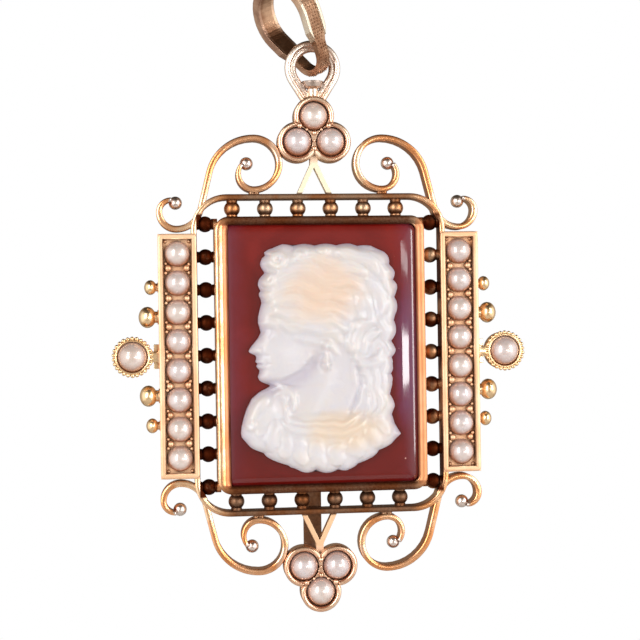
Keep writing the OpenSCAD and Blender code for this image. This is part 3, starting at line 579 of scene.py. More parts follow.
# Locks of hair: points in millimetres, half width, height, strands
LOCKS = [
    # Over the head, from the brow back to the nape
    ([(-5.2, 5.6), (-4.0, 6.6), (-2.2, 6.9), (-0.4, 6.2), (1.4, 5.9), (3.0, 5.0)], 0.8, 0.2, 3),
    ([(-5.0, 4.7), (-3.9, 5.4), (-2.4, 5.5), (-0.8, 4.8), (1.0, 4.6), (2.8, 3.7)], 0.75, 0.2, 3),
    ([(-4.9, 4.3), (-3.6, 4.2), (-2.2, 4.2), (-0.8, 3.5), (0.8, 3.4), (2.4, 2.5)], 0.7, 0.22, 3),
    ([(-3.9, 3.4), (-2.6, 3.0), (-1.4, 2.9), (-0.2, 2.3), (1.2, 2.2), (2.4, 1.4)], 0.6, 0.22, 3),
    ([(-2.4, 2.2), (-1.4, 1.9), (-0.4, 1.5), (0.8, 1.3), (1.8, 0.6)], 0.45, 0.2, 2),
    ([(-4.6, 6.9), (-3.4, 8.0), (-1.6, 8.3), (0.4, 7.5), (2.4, 7.2), (4.0, 6.2)], 0.85, 0.2, 3),
    ([(-2.6, 9.2), (-1.0, 9.5), (1.0, 8.8), (3.0, 8.5), (4.6, 7.6)], 0.8, 0.2, 3),
    # Waves at the back of the head
    ([(1.6, 10.2), (3.2, 9.9), (4.8, 9.0), (5.8, 7.6)], 0.75, 0.22, 3),
    ([(4.4, 9.9), (5.6, 9.0), (6.3, 7.6), (6.5, 6.2)], 0.6, 0.22, 3),
    ([(4.4, 7.4), (5.3, 6.4), (5.7, 5.0), (5.6, 3.6)], 0.75, 0.22, 3),
    ([(6.1, 7.2), (6.8, 5.9), (6.6, 4.5), (6.8, 3.2)], 0.55, 0.2, 2),
    ([(3.3, 5.9), (4.2, 5.0), (4.5, 3.8), (4.1, 2.7)], 0.75, 0.22, 3),
    ([(5.3, 4.4), (6.0, 3.0), (6.4, 1.8), (6.5, 0.6)], 0.65, 0.2, 3),
    # The roll at the nape
    ([(5.6, 3.4), (4.6, 3.3), (3.7, 2.9), (3.1, 2.1), (3.0, 1.2), (3.4, 0.4)], 0.85, 0.38, 3),
    ([(5.8, 2.3), (4.9, 2.2), (4.2, 1.7), (3.9, 0.9), (4.2, 0.0)], 0.65, 0.34, 2),
    ([(3.2, 0.5), (3.8, -0.5), (4.7, -0.7), (5.4, -0.1), (5.5, 0.9)], 0.6, 0.34, 2),
    # Hair that falls behind the neck
    ([(5.6, 0.6), (6.2, -0.6), (6.0, -1.9), (6.3, -3.2), (6.0, -4.4)], 0.6, 0.22, 3),
    ([(4.9, -0.4), (5.3, -1.6), (5.1, -2.8), (5.5, -4.0), (5.3, -5.2)], 0.6, 0.22, 3),
    ([(4.0, -0.7), (4.5, -1.9), (4.6, -3.1), (4.7, -4.3), (4.4, -5.4)], 0.5, 0.2, 2),
    # Gown: rolled edge at the front and the neckline
    ([(-4.7, -2.7), (-3.6, -2.7), (-2.8, -3.2), (-2.6, -4.1), (-3.0, -4.8)], 0.36, 0.3, 1),
    ([(-4.6, -3.5), (-4.0, -3.3), (-3.5, -3.7), (-3.5, -4.4)], 0.3, 0.22, 1),
    ([(-3.5, -4.3), (-3.2, -5.2), (-2.2, -5.9), (-0.8, -6.2), (0.8, -6.2), (2.4, -5.9),
      (3.8, -5.0)], 0.34, 0.26, 1),
    ([(-3.9, -5.2), (-2.6, -6.5), (-0.8, -6.9), (1.0, -6.9), (2.8, -6.6), (4.4, -5.7)],
     0.4, 0.16, 2),
    # Soft folds of the gown
    ([(-5.3, -3.5), (-6.0, -4.7), (-6.9, -5.9)], 0.66, 0.17, 1),
    ([(-4.8, -4.3), (-5.3, -5.8), (-6.3, -7.3)], 0.72, 0.17, 1),
    ([(-4.2, -5.6), (-4.7, -7.1), (-5.2, -8.4)], 0.72, 0.17, 1),
    ([(-3.2, -6.9), (-3.4, -8.2), (-4.0, -9.3)], 0.75, 0.17, 1),
    ([(-1.9, -7.5), (-2.2, -8.8), (-2.2, -10.1)], 0.8, 0.18, 1),
    ([(-0.2, -7.8), (-0.5, -9.1), (-0.3, -10.5)], 0.84, 0.18, 1),
    ([(1.4, -7.7), (1.4, -9.0), (1.7, -10.2)], 0.8, 0.18, 1),
    ([(2.9, -7.3), (3.1, -8.4), (3.6, -9.5)], 0.75, 0.17, 1),
    ([(4.2, -6.6), (4.8, -7.6), (5.3, -8.5)], 0.7, 0.16, 1),
    ([(5.2, -5.7), (5.9, -6.5), (6.7, -7.2)], 0.6, 0.15, 1)
]
# Curls: centre, radius, start angle, turns (left positive), height
CURLS = [
    (-4.0, 9.3, 1.1, 200, 1.3, 0.3), (-4.75, 7.5, 0.95, 160, 1.2, 0.28),
    (-1.7, 10.0, 0.85, 190, -1.1, 0.24), (-4.9, 5.9, 0.7, 150, 1.1, 0.22),
    (0.3, 10.2, 0.75, 180, -1.0, 0.22), (6.3, 8.3, 0.7, 60, 1.1, 0.2),
    (6.7, 5.2, 0.6, 40, -1.1, 0.18), (6.6, 2.6, 0.6, 40, 1.1, 0.18),
    (6.3, -0.2, 0.55, 30, -1.1, 0.18), (6.2, -2.6, 0.5, 30, 1.0, 0.16),
    (-6.6, -6.0, 0.75, 120, 1.2, 0.22), (6.3, -6.3, 0.55, 60, -1.0, 0.14)
]
# Soft strokes of the face, neck and earring: points, half width, height
STROKES = [
    ([(-5.42, 2.2), (-5.2, 2.48), (-4.85, 2.56), (-4.45, 2.36), (-4.15, 2.12)], 0.13, 0.13),
    ([(-5.38, 2.12), (-5.1, 1.93), (-4.75, 1.92), (-4.4, 2.08)], 0.1, 0.08),
    ([(-5.05, 2.78), (-4.75, 2.84), (-4.35, 2.66)], 0.1, -0.06),
    ([(-5.7, 3.15), (-5.3, 3.4), (-4.7, 3.42), (-4.0, 3.1)], 0.3, 0.12),
    ([(-5.72, 2.5), (-6.0, 1.8), (-6.32, 1.1)], 0.32, 0.08),
    ([(-5.56, 1.12), (-5.44, 0.82), (-5.58, 0.5)], 0.1, -0.1),
    ([(-5.35, 0.6), (-5.08, 0.12), (-4.98, -0.36)], 0.26, -0.05),
    ([(-6.06, -0.18), (-5.66, -0.2), (-5.18, -0.38)], 0.18, 0.11),
    ([(-5.98, -0.64), (-5.62, -0.68), (-5.22, -0.5)], 0.18, 0.11),
    ([(-6.05, -0.42), (-5.6, -0.43), (-5.02, -0.45)], 0.07, -0.13),
    ([(0.95, -0.8), (0.1, -3.0), (-1.3, -5.4)], 0.6, 0.1),
    ([(-2.1, -5.2), (-0.8, -5.5), (0.7, -5.3)], 0.35, 0.06),
    ([(3.3, 0.0), (3.5, -1.4), (3.55, -2.8), (3.1, -4.3), (2.6, -5.2)], 0.22, -0.26),
    ([(0.52, 1.2), (0.5, 0.1)], 0.11, 0.34)
]
# Soft round forms: centre, half sizes, height
ROUNDS = [
    (-5.0, 2.38, 0.75, 0.5, -0.24), (-4.98, 2.24, 0.34, 0.24, 0.2),
    (-5.86, 0.78, 0.26, 0.24, 0.17), (-6.04, 0.5, 0.13, 0.07, -0.14),
    (-5.0, -0.46, 0.14, 0.12, -0.07), (-5.4, -1.55, 0.6, 0.48, 0.15),
    (-5.68, -1.02, 0.32, 0.16, -0.1), (-3.9, 0.5, 1.6, 1.5, 0.2),
    (-3.3, 3.6, 1.1, 0.9, 0.08), (0.4, 1.45, 0.4, 0.34, 0.12),
    (0.52, 1.25, 0.26, 0.26, 0.45), (0.5, -0.35, 0.26, 0.5, 0.75), (0.5, -0.7, 0.32, 0.32, 0.45)
]
# Broad swells: head, hair at the back, gown, shoulder: centre, half sizes, height, soft share
SWELLS = [
    (0.98, 6.45, 6.5, 4.5, 0.26, 0.3), (5.4, -0.55, 2.7, 6.0, 0.16, 0.4),
    (0.0, -8.8, 7.5, 3.9, 0.24, 0.35), (-5.9, -5.6, 2.3, 3.2, 0.12, 0.45)
]
# The jaw's line, and how deep, how far off and how softly the neck falls away behind it
JAW = [(-5.7, -2.35), (-4.7, -2.15), (-3.3, -1.8), (-2.0, -1.15), (-1.0, -0.2),
       (-0.55, 0.9)]
JAW_DEEP, JAW_OFF, JAW_SOFT, JAW_FRONT = 0.34, 0.35, 0.9, 0.12


def unit(values):
    return np.clip(values, 0, 1)


def smooth_line(points, samples):
    """Catmull-Rom curve through the points."""
    p = np.array([points[0], *points, points[-1]], float)
    t = np.linspace(0, len(points) - 1, samples)
    i = np.minimum(t.astype(int), len(points) - 2)
    f = (t - i)[:, None]
    a, b, c, d = p[i], p[i + 1], p[i + 2], p[i + 3]
    return 0.5 * (2 * b + (c - a) * f + (2 * a - 5 * b + 4 * c - d) * f**2
                  + (3 * b - a - 3 * c + d) * f**3)


def along(grid, points, reach, samples=48):
    """For the grid's points near a line: which they are, signed distance, share of the way."""
    line = smooth_line(points, samples)
    low, high = line.min(0) - reach, line.max(0) + reach
    near = np.nonzero(((grid > low) & (grid < high)).all(1))[0]
    if not len(near):
        return near, np.zeros(0), np.zeros(0)
    g = grid[near]
    best = np.full(len(g), 1e9)
    sign, share = np.ones(len(g)), np.zeros(len(g))
    for k in range(samples - 1):
        a, d = line[k], line[k + 1] - line[k]
        f = unit(((g - a) @ d) / (d @ d))
        r = g - a - f[:, None] * d
        away = np.hypot(r[:, 0], r[:, 1])
        closer = away < best
        best = np.where(closer, away, best)
        sign = np.where(closer, np.sign(d[0] * r[:, 1] - d[1] * r[:, 0]), sign)
        share = np.where(closer, (k + f) / (samples - 1), share)
    keep = best < reach
    return near[keep], (best * sign)[keep], share[keep]


def lock_height(grid, points, width, height, strands):
    """A lock: a dome across, thin at both ends, with grooves between its strands."""
    near, off, share = along(grid, points, width)
    slim = width * np.clip(np.sin(np.pi * (0.06 + 0.90 * share)) * 1.3, 0.5, 1)
    t = np.clip(off / slim, -1, 1)
    dome = (1 - t**2) ** 0.7
    groove = 0.10 * np.cos(2 * np.pi * strands * t / 2 + 2.2 * np.sin(5 * share)) * dome
    ends = unit(2.6 * np.sin(np.pi * (0.03 + 0.94 * share)))
    made = np.zeros(len(grid))
    made[near] = height * ends * (dome + groove if strands > 1 else dome)
    return made


def curl_line(cx, cz, r, start, turns):
    """A spiral from the rim of a curl to its middle."""
    n = 14
    out = []
    for i in range(n):
        f = i / (n - 1)
        a = radians(start + 360 * turns * f)
        q = r * (0.72 - 0.60 * f)
        out.append((cx + q * cos(a), cz + q * sin(a)))
    return out


def bust_height(grid, edge_distance):
    """Height of the carving over the stone, in millimetres, for points of the front."""
    x, z = grid[:, 0], grid[:, 1]
    rise = unit(edge_distance / 1.5)
    h = 0.34 + 0.86 * np.sqrt(unit(1 - (1 - rise) ** 2.2))
    for cx, cz, rx, rz, height, soft in SWELLS:
        d = unit((1 - ((x - cx) / rx) ** 2 - ((z - cz) / rz) ** 2) / soft)
        h += height * d * d * (3 - 2 * d)
    # The jaw stands over the neck, which rises again towards the nape
    near, off, share = along(grid, JAW, 2.4)
    below = np.clip(-off, 0, None)
    brink = JAW_DEEP * exp(-(JAW_OFF / JAW_SOFT) ** 2)
    fall = -JAW_DEEP * np.exp(-((below - JAW_OFF) / JAW_SOFT) ** 2) * (off < 0) \
        - brink * np.exp(-(off / JAW_FRONT) ** 2) * (off >= 0)
    h[near] += fall * unit(4 * share + 0.3) * unit(5 * (1 - share))
    for points, width, height in STROKES:
        near, off, share = along(grid, points, 2.6 * width)
        ends = unit(np.sin(np.pi * share) * 2.5 + 0.25)
        h[near] += height * np.exp(-(off / width) ** 2) * ends
    for cx, cz, rx, rz, height in ROUNDS:
        h += height * np.exp(-(((x - cx) / rx) ** 2 + ((z - cz) / rz) ** 2))
    top = np.zeros(len(grid))
    soft = grid + 0.16 * np.stack([np.sin(1.3 * z + 0.7 * x), np.sin(1.1 * x - 0.8 * z)], 1) \
        + 0.05 * np.stack([np.sin(4.1 * z), np.sin(3.7 * x + 1.0)], 1)
    for points, width, height, strands in LOCKS:
        top = np.maximum(top, lock_height(soft, points, width, height, strands))
    for cx, cz, r, start, turns, height in CURLS:
        d = unit(1 - ((x - cx) ** 2 + (z - cz) ** 2) / r**2)
        cushion = 0.85 * height * d**0.7
        spiral = lock_height(grid, curl_line(cx, cz, r, start, turns), 0.34 * r, 0.45 * height, 1)
        top = np.maximum(top, cushion + spiral * (d > 0))
    low_edge = unit(edge_distance / 0.5)
    h += 1.05 * top * low_edge
    carved = 0.02 * np.sin(9.1 * x + 2.3 * np.sin(3.7 * z))
    carved *= np.sin(8.3 * z + 1.9 * np.sin(4.1 * x))
    return h + carved * low_edge * 0.35


def polish(height, cells):
    """The height with its sharp creases rounded, as rubbing leaves them."""
    reach = int(4 * cells)
    bell = np.exp(-0.5 * (np.arange(-reach, reach + 1) / cells) ** 2)
    bell /= bell.sum()
    for axis in (0, 1):
        pads = [(reach, reach) if k == axis else (0, 0) for k in (0, 1)]
        padded = np.pad(height, pads, mode="edge")
        height = np.apply_along_axis(np.convolve, axis, padded, bell, mode="valid")
    return height


def make_bust():
    """The carved front on a grid between the outline's two edges, its rim and its flat back."""
    rows, cols = 340, 230
    table = np.array(EDGE)
    fine = np.linspace(-1, 1, 4001)
    bell = np.exp(-(np.linspace(-3, 3, 49) ** 2) / 2)
    bell /= bell.sum()

    def edge_at(v, column):
        values = np.interp(fine, table[:, 0], table[:, column])
        padded = np.pad(values, 24, mode="edge")
        return np.interp(v, fine, np.convolve(padded, bell, mode="valid"))

    # Rows close up at the top and the bottom, where the outline runs level
    v = np.sin(np.linspace(-0.5, 0.5, rows) * pi * 0.86) / sin(0.43 * pi)
    s = 0.5 - 0.5 * np.cos(np.linspace(0, pi, cols))
    s = 0.55 * s + 0.45 * np.linspace(0, 1, cols)
    left, right = edge_at(v, 1), edge_at(v, 2)
    up = v * RELIEF_H / 2
    locks = unit((v + 0.52) / 0.08) * unit((0.97 - v) / 0.08)
    right = right + 0.046 * locks * (np.abs(np.sin(1.75 * up + 0.5 * np.sin(0.8 * up))) - 0.65)
    fringe = unit((v - 0.52) / 0.06) * unit((0.97 - v) / 0.06)
    left = left - 0.046 * fringe * (np.abs(np.sin(1.9 * up + 0.4)) - 0.6)
    hem = unit((-0.70 - v) / 0.06)
    scallop = 0.05 * hem * (np.abs(np.sin(2.6 * up + 0.7)) - 0.6)
    left, right = left - scallop, right + scallop
    u = left[:, None] + (right - left)[:, None] * s[None, :]
    x = u * RELIEF_W / 2
    z = np.repeat(v[:, None], cols, 1) * RELIEF_H / 2
    # Curls break the level line of the crown
    head_top = unit((v[:, None] - 0.90) / 0.10) ** 1.5
    curls = 0.16 - 0.16 * np.abs(np.sin(1.55 * x + 0.6))
    z = z - head_top * (curls + 0.10 * np.clip(x - 3, 0, None) ** 1.1)
    foot = unit((-0.92 - v[:, None]) / 0.08) ** 1.5
    z = z + foot * (0.30 - 0.30 * np.abs(np.sin(1.5 * x + 0.9)))
    outline = np.concatenate([np.stack(side, 1) for side in (
        (x[:, 0], z[:, 0]), (x[-1], z[-1]), (x[::-1, -1], z[::-1, -1]), (x[0, ::-1], z[0, ::-1]))])
    grid = np.stack([x.ravel(), z.ravel()], 1)
    distance = np.full(len(grid), 1e9)
    for k in range(0, len(outline), 2):
        distance = np.minimum(distance, np.hypot(grid[:, 0] - outline[k, 0],
                                                 grid[:, 1] - outline[k, 1]))
    h = polish(bust_height(grid, distance).reshape(rows, cols), 1.5).ravel()
    base = STONE_FRONT - RELIEF_GAP
    x, z = x - RELIEF_LEFT, z - RELIEF_DROP
    front = list(zip(x.ravel(), base - h, z.ravel()))
    back = [(x[i, j], base, z[i, j]) for i in range(rows) for j in (0, cols - 1)]
    rim = [(x[i, j], base, z[i, j]) for i in (0, rows - 1) for j in range(1, cols - 1)]
    faces = [(a, a + 1, a + cols + 1, a + cols) for i in range(rows - 1)
             for a in range(i * cols, (i + 1) * cols - 1)]
    n = len(front)
    for i in range(rows - 1):
        a, b = n + 2 * i, n + 2 * i + 2
        faces.append((i * cols, (i + 1) * cols, b, a))
        faces.append((i * cols + cols - 1, a + 1, b + 1, (i + 1) * cols + cols - 1))
    m = n + len(back)
    for end, row in ((0, 0), (1, rows - 1)):
        under = [n + 2 * row, *range(m + end * (cols - 2), m + (end + 1) * (cols - 2)),
                 n + 2 * row + 1]
        for j in range(cols - 1):
            faces.append((row * cols + j, row * cols + j + 1, under[j + 1], under[j]))
    # The flat back, strip by strip, with its first and last rows filled to the rim
    for i in range(rows - 1):
        a, b = n + 2 * i, n + 2 * i + 2
        if i == 0:
            faces.append((a, *range(m, m + cols - 2), a + 1, b + 1, b))
        elif i == rows - 2:
            faces.append((a, a + 1, b + 1, *reversed(range(m + cols - 2, m + 2 * cols - 4)), b))
        else:
            faces.append((a, a + 1, b + 1, b))
    made = add_mesh("cameo_bust", front + back + rim, faces, LAYER, "white_layer")
    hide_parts("cameo_relief")


make_bust()

# ---------------- metal trims

FRONT_Y = -1.05
COLLET_W, COLLET_H, COLLET_R, WALL = 19.85, 26.0, 1.3, 0.65
FRAME_W, FRAME_H, FRAME_R, FRAME_T, FRAME_FRONT = 24.15, 30.3, 3.35, 0.5, -0.85
PAIR_Z, PITCH, STEP = 20.05, 3.14, 2.42
SINGLE_Z = PAIR_Z + STEP
BAR_X, BAR_W, BAR_H, BAR_RIM, BAR_PITCH, SEAT_Y = 13.415, 3.6, 22.92, 0.5, 2.74, -0.55
SCROLL_FRONT, SCROLL_TIP, SCROLL_T = -0.75, 0.38, 0.56
END_X = 17.715

# The stone: a plate whose polished face falls softly to its edge
STONE_PLAY, STONE_BEVEL, BACK_INSET, EDGE_STEPS = 0.1, 0.06, 1.6, 20
STONE_W, STONE_H = [size - 2 * WALL - STONE_PLAY for size in (COLLET_W, COLLET_H)]
STONE_R = COLLET_R - WALL / 2
STONE_BACK, EDGE_FALL, EDGE_WIDE = 0.95, 0.35, 1.6


def stone_loop(inset, depth):
    path = rounded_path(STONE_W - 2 * inset, STONE_H - 2 * inset, max(STONE_R - inset, 0.25), 6)
    return [(x, depth, z) for x, z in path]


loops = [stone_loop(BACK_INSET, STONE_BACK), stone_loop(STONE_BEVEL, STONE_BACK),
         stone_loop(0.0, STONE_BACK - STONE_BEVEL),
         stone_loop(0.0, STONE_FRONT + EDGE_FALL + STONE_BEVEL)]
for step in range(EDGE_STEPS + 1):
    share = step / EDGE_STEPS
    loops.append(stone_loop(EDGE_WIDE * share + 0.001, STONE_FRONT + EDGE_FALL * (1 - share) ** 2))
loops.append(stone_loop(EDGE_WIDE + 0.8, STONE_FRONT))
size = len(loops[0])
faces = [tuple(range(size)), tuple(range((len(loops) - 1) * size, len(loops) * size))]
for i in range(len(loops) - 1):
    for j in range(size):
        a, b = i * size + j, i * size + (j + 1) % size
        faces.append((a, b, b + size, a + size))
stone = add_mesh("cameo_stone", [q for ring in loops for q in ring], faces, STONE, "carnelian")
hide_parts("cameo_plaque")

# The collet's edge, burnished over the stone: outward and depth
lip = [(0.325, -1.56), (0.29, -1.66), (0.16, -1.73), (-0.05, -1.75), (-0.24, -1.70),
       (-0.37, -1.60), (-0.46, -1.45), (-0.47, -1.05), (-0.30, -1.05), (0.28, -1.50)]
# The left side was pressed down wider over the stone: its own reach and how deep it sinks
SLOPE_FROM, SLOPE_SOFT, SLOPE_REACH, SLOPE_SINK = -0.10, 0.35, 0.45, 0.16
LEFT_FROM, LEFT_SOFT = 8.7, 0.8
path = rounded_path(COLLET_W - WALL, COLLET_H - WALL, COLLET_R - WALL / 2)
points, faces = sweep(path, lip, True)
for i, (path_x, _) in enumerate(path):
    wide = SLOPE_REACH * min(1.0, max(0.0, (-path_x - LEFT_FROM) / LEFT_SOFT))
    for j, (offset, _) in enumerate(lip):
        x, y, z = points[i * len(lip) + j]
        inner = min(1.0, max(0.0, (SLOPE_FROM - offset) / SLOPE_SOFT))
        points[i * len(lip) + j] = (x + wide * inner, y + SLOPE_SINK * wide * inner, z)
add_mesh("collet_lip", points, faces)

# Trefoil: radius of a lobe and of its rim, room between two lobes, way out to the outer grains
LOBE_R, LOBE_RIM, LOBE_GAP, GRAIN_OUT = 1.67, 0.25, 0.10, 0.66


def trefoil_trim(name, flip):
    """Rounded rims along the outside of the three lobes, and grains between the pearls."""
    centres = [(MID_X - PITCH / 2, PAIR_Z), (MID_X + PITCH / 2, PAIR_Z), (MID_X, SINGLE_Z)]
    middle = (MID_X, PAIR_Z + STEP / 3)
    parts = []
    for c in centres:
        others = [o for o in centres if o != c]
        outward = degrees(atan2(c[1] - middle[1], c[0] - middle[0]))
        path = []
        for k in range(-60, 61):
            a = radians(outward + 3 * k)
            p = (c[0] + LOBE_R * cos(a), c[1] + LOBE_R * sin(a))
            if all(hypot(p[0] - o[0], p[1] - o[1]) >= LOBE_R + LOBE_GAP for o in others):
                path.append(p)
        # The rim thins out where two lobes meet
        thin = [min(1.0, 0.45 + 0.14 * min(k, len(path) - 1 - k)) for k in range(len(path))]
        parts.append(sweep(path, round_section(LOBE_RIM, FRONT_Y + 0.03, 14), False, thin))
    for a, b in ((0, 1), (1, 2), (2, 0)):
        half = [(centres[a][i] + centres[b][i]) / 2 for i in (0, 1)]
        way = [half[i] - middle[i] for i in (0, 1)]
        q = [half[i] + GRAIN_OUT * way[i] / hypot(*way) for i in (0, 1)]
        parts.append(ball((q[0], FRONT_Y - 0.14, q[1]), 0.27))
        inner = [(q[i] + middle[i]) / 2 for i in (0, 1)]
        parts.append(ball((inner[0], FRONT_Y - 0.05, inner[1]), 0.15))
    parts.append(ball((middle[0], FRONT_Y - 0.16, middle[1]), 0.24))
    points, faces = merge(parts)
    points = [(x, y, flip * z) for x, y, z in points]
    add_mesh(name, points, faces)


trefoil_trim("trefoil_rims_top", 1)
trefoil_trim("trefoil_rims_bottom", -1)


def crown(width, front, rise):
    """A low rounded front for a flat ribbon: half round across, sunk a little at its back."""
    half = width / 2 + 0.012
    shares = (-1.0, -0.94, -0.80, -0.55, -0.28, 0.0, 0.28, 0.55, 0.80, 0.94, 1.0)
    over = [(a * half, front - rise * sqrt(1 - a * a) - 0.01) for a in shares]
    return over + [(half, front + 0.05), (-half, front + 0.05)]


# Scroll in the upper right quarter: radius and turn of each row, radius 0 is straight
SCROLL = [(1.45, -130), (2.44, -180), (4.3, -76), (0, 3.6), (2.35, 76), (1.6, 90), (1.15, 90)]
SCROLL_ANCHOR, ANCHOR_ANGLE, START_HEADING = 4, 38.5, -50


def walk_scroll(rows):
    """Points of the scroll's line from its inner tip."""
    x, z, heading = 0.0, 0.0, radians(START_HEADING)
    path = [(x, z)]
    for radius, turn in rows:
        if radius == 0:
            x, z = x + turn * cos(heading), z + turn * sin(heading)
            path.append((x, z))
            continue
        steps = ceil(abs(turn) / 5)
        side = copysign(1, turn)
        cx, cz = x - side * radius * sin(heading), z + side * radius * cos(heading)
        for i in range(1, steps + 1):
            g = heading + radians(turn) * i / steps
            path.append((cx + side * radius * sin(g), cz - side * radius * cos(g)))
        heading += radians(turn)
        x, z = path[-1]
    return path


corner = FRAME_R - FRAME_T / 2
anchor = walk_scroll(SCROLL[:SCROLL_ANCHOR])[-1]
shift = (FRAME_W / 2 - FRAME_R + corner * cos(radians(ANCHOR_ANGLE)) - anchor[0],
         FRAME_H / 2 - FRAME_R + corner * sin(radians(ANCHOR_ANGLE)) - anchor[1])
scroll_line = [(x + shift[0], z + shift[1]) for x, z in walk_scroll(SCROLL)]
last = len(scroll_line) - 1
scroll_widths = [(SCROLL_TIP + (SCROLL_T - SCROLL_TIP) * min(1, min(i, last - i) / 20)) / SCROLL_T
                 for i in range(last + 1)]
for i, (fx, fz) in enumerate(((1, 1), (-1, 1), (-1, -1), (1, -1))):
    points, faces = sweep(scroll_line, crown(SCROLL_T, SCROLL_FRONT, 0.13), False, scroll_widths)
    add_mesh(f"scroll_face_{i + 1}", [(fx * x, y, fz * z) for x, y, z in points], faces)

path = rounded_path(FRAME_W - FRAME_T, FRAME_H - FRAME_T, FRAME_R - FRAME_T / 2, 14)
points, faces = sweep(path, crown(FRAME_T, FRAME_FRONT, 0.12), True)
add_mesh("frame_face", points, faces)

SIDES = (("left", -1), ("right", 1))
for where, side in SIDES:
    path = rounded_path(BAR_W - BAR_RIM, BAR_H - BAR_RIM, 0.12, 3)
    points, faces = sweep(path, crown(BAR_RIM, FRONT_Y, 0.09), True)
    points = [(x + side * BAR_X, y, z) for x, y, z in points]
    add_mesh("bar_rim_" + where, points, faces)

# Grains beside the bars' pearls, round the middle of a gap: sideways, up, radius
GRAINS = ((-0.86, 0, 0.34), (0.86, 0, 0.34), (-1.09, 0.44, 0.19), (1.09, 0.44, 0.19),
          (-1.10, -0.42, 0.19), (1.10, -0.42, 0.19))
GAPS = 7
for where, side in SIDES:
    parts = []
    for i in range(GAPS):
        for across, up, large in GRAINS:
            size = large * (1 + 0.10 * rng.uniform(-1, 1))
            parts.append(ball((side * BAR_X + across, SEAT_Y - 0.22 + 0.04 * rng.uniform(-1, 1),
                               (GAPS // 2 - i) * BAR_PITCH + up + 0.06 * rng.uniform(-1, 1)),
                              size))
    add_mesh("bar_grains_" + where, *merge(parts))

# Stippled field between the bail's rails: dots in rows along the loop
ROW_SPACING, DOT_SPACING, DOT_SHIFT = 0.30, 0.27, 0.05
bevel = asin((BAIL_R - BAIL_TOP_R) / BAIL_LEN)
lower = [(BAIL_R, 0.0, -pi - bevel + (pi + 2 * bevel) * i / 30) for i in range(31)]
upper = [(BAIL_TOP_R, BAIL_LEN, bevel + (pi - 2 * bevel) * i / 16) for i in range(17)]
loop = [((r + BAIL_T / 2) * cos(a), q + (r + BAIL_T / 2) * sin(a)) for r, q, a in lower + upper]
loop.append(loop[0])
parts, travelled = [], 0.0
for i in range(len(loop) - 1):
    (u0, q0), (u1, q1) = loop[i], loop[i + 1]
    length = hypot(u1 - u0, q1 - q0)
    while travelled < length:
        f = travelled / length
        u, q = u0 + f * (u1 - u0), q0 + f * (q1 - q0)
        wide = min(np.interp(q, [0.2 * BAIL_R, BAIL_R], [BAIL_WAIST, BAIL_W + 0.2]), BAIL_W) / 2
        reach = wide - RAIL_W - 0.10 if wide > 0.6 else wide - 0.14
        count = max(1, int(2 * reach / DOT_SPACING) + 1)
        for k in range(count):
            across = (k / (count - 1) - 0.5) * 2 * reach if count > 1 else 0.0
            du, dq, da = rng.uniform(-DOT_SHIFT, DOT_SHIFT, 3)
            place = bail_turned(u + du * 0.5, across + da * (abs(across) < reach - 0.04), q + dq)
            at = [bail_at[j] + place[j] for j in range(3)]
            parts.append(ball(at, rng.uniform(0.075, 0.115), 1))
        travelled += ROW_SPACING
    travelled -= length
add_mesh("bail_stipple", *merge(parts), COPPER, "copper_gold", "bail")

# Milled edge, inner ring and tongue of the end collets
BEADS, BEAD_R, MILLED_R, INNER_R, TONGUE_W = 26, 0.19, 1.74, 1.53, 0.86
for where, side in SIDES:
    parts = []
    for k in range(BEADS):
        a = 2 * pi * (k + 0.5) / BEADS
        size = BEAD_R * (1 + 0.06 * rng.uniform(-1, 1))
        parts.append(ball((side * END_X + MILLED_R * cos(a), FRONT_Y + 0.02,
                           MILLED_R * sin(a)), size))
    turns = [radians(6 * k) for k in range(60)]
    circle = [(side * END_X + INNER_R * cos(a), INNER_R * sin(a)) for a in turns]
    parts.append(sweep(circle, round_section(0.12, FRONT_Y - 0.02), True))
    # The tongue's front, flared at both ends
    start, stop = BAR_X + BAR_W / 2 - 0.10, END_X - 1.66
    tongue = [(side * (start + (stop - start) * k / 12), 0.0) for k in range(13)]
    flare = [1 + 0.85 * (k / 6 - 1) ** 2 for k in range(13)]
    parts.append(sweep(tongue, crown(TONGUE_W, FRONT_Y + 0.14, 0.12), False, flare))
    add_mesh("end_beads_" + where, *merge(parts))

# ---------------- stage, light and camera

TARGET = pt(0.05, 0.0, 3.2)
DISTANCE, AZIMUTH, ROLL = 140.0, -6.5, 0.9
IMAGE_PX, PX_PER_MM, SENSOR = 640, 10.5, 36.0
FLOOR_R, FLOOR_Z, LIGHT_AWAY = 120, -85, 300
# Two tall soft boxes and two low cards: azimuth, elevation, width, height, radiance
LIGHTS = {
    "box_left": (-36, 12, 50, 230, 10.5), "box_right": (49, 12, 50, 230, 9.0),
    "card_low": (22.7, -2.35, 98, 17, 17.0), "card_high": (22.7, 3.9, 98, 7, 5.5)
}

for name, (azimuth, elevation, width, height, radiance) in LIGHTS.items():
    light = bpy.data.lights.new(name, "AREA")
    light.shape = "RECTANGLE"
    light.size, light.size_y = width * MM, height * MM
    light.energy = radiance * pi * width * height * MM * MM
    box = add_object(name, light)
    a, e = radians(azimuth), radians(elevation)
    way = Vector((sin(a) * cos(e), -cos(a) * cos(e), sin(e)))
    box.location = TARGET + way * LIGHT_AWAY * MM
    box.rotation_euler = way.to_track_quat("Z", "Y").to_euler()

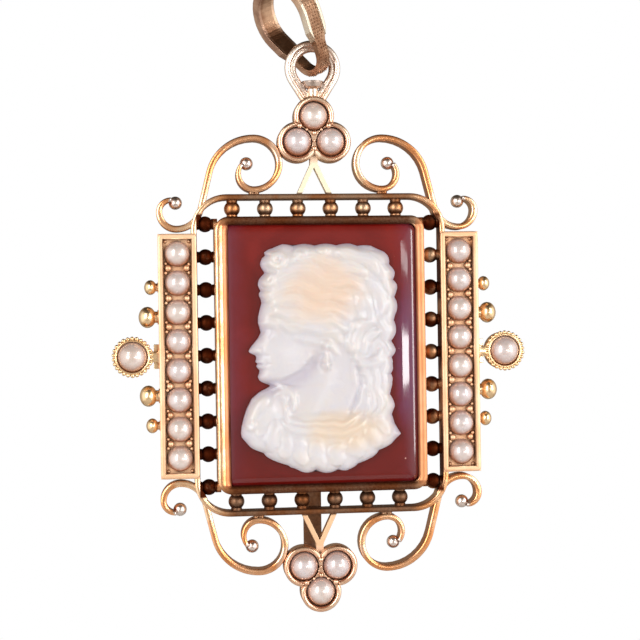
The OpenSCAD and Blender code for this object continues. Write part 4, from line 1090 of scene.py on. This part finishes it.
# The room: bright at the sides, dim and warm elsewhere, plain white behind the pendant
world = bpy.data.worlds.new("studio")
world.use_nodes = True
bpy.context.scene.world = world
t = Tree(world.node_tree)
way = t.split(t.coords("Generated"))
sideways = t.step(t.calc("ABSOLUTE", way["X"]), 0.22, 0.80)
behind = t.step(way["Y"], -0.05, 0.45)
upright = t.step(t.calc("ABSOLUTE", way["Z"]), 0.34, 0.85)
glow = t.calc("ADD", t.times(sideways, 0.75), 0.50)
glow = t.times(glow, t.range(behind, 1.0, 0.42))
glow = t.times(glow, t.range(upright, 1.0, 0.14))
camera_ray = t.add("ShaderNodeLightPath").outputs["Is Camera Ray"]
glow = t.calc("MAXIMUM", glow, camera_ray)
warm = t.mix(t.step(glow, 0.15, 0.75), (1.0, 0.80, 0.60, 1.0), (1.0, 1.0, 1.0, 1.0))
back = t.add("ShaderNodeBackground", {"Color": warm, "Strength": glow})
out = t.add("ShaderNodeOutputWorld")
t.tree.links.new(back.outputs[0], out.inputs[0])

floor_finish, t = material("pale_floor")
mm = t.millimetres()
base = t.mix(t.noise(mm, 0.02, 3.0), rgb(244, 243, 241), rgb(250, 249, 248))
bump = t.bump(t.noise(mm, 0.6, 3.0), 0.05, 0.1)
finish_material(t, base, t.range(t.noise(mm, 0.05), 0.75, 0.9), bump)
work = bmesh.new()
bmesh.ops.create_circle(work, cap_ends=True, segments=96, radius=FLOOR_R * MM)
floor_mesh = bpy.data.meshes.new("floor")
work.to_mesh(floor_mesh)
work.free()
floor = add_object("floor", floor_mesh)
floor.location = pt(0, 0, FLOOR_Z)
floor.data.materials.append(floor_finish)

camera = add_object("camera", bpy.data.cameras.new("camera"))
camera.data.sensor_width = SENSOR
camera.data.lens = SENSOR * DISTANCE * PX_PER_MM / IMAGE_PX
turn = radians(AZIMUTH)
away = Vector((sin(turn), -cos(turn), 0.0))
camera.location = TARGET + away * DISTANCE * MM
look = (-away).to_track_quat("-Z", "Y").to_matrix()
camera.rotation_euler = (look @ Matrix.Rotation(radians(-ROLL), 3, "Z")).to_euler()
camera.data.clip_start, camera.data.clip_end = 0.005, 5.0
bpy.context.scene.camera = camera
bpy.context.scene.view_settings.view_transform = "Standard"
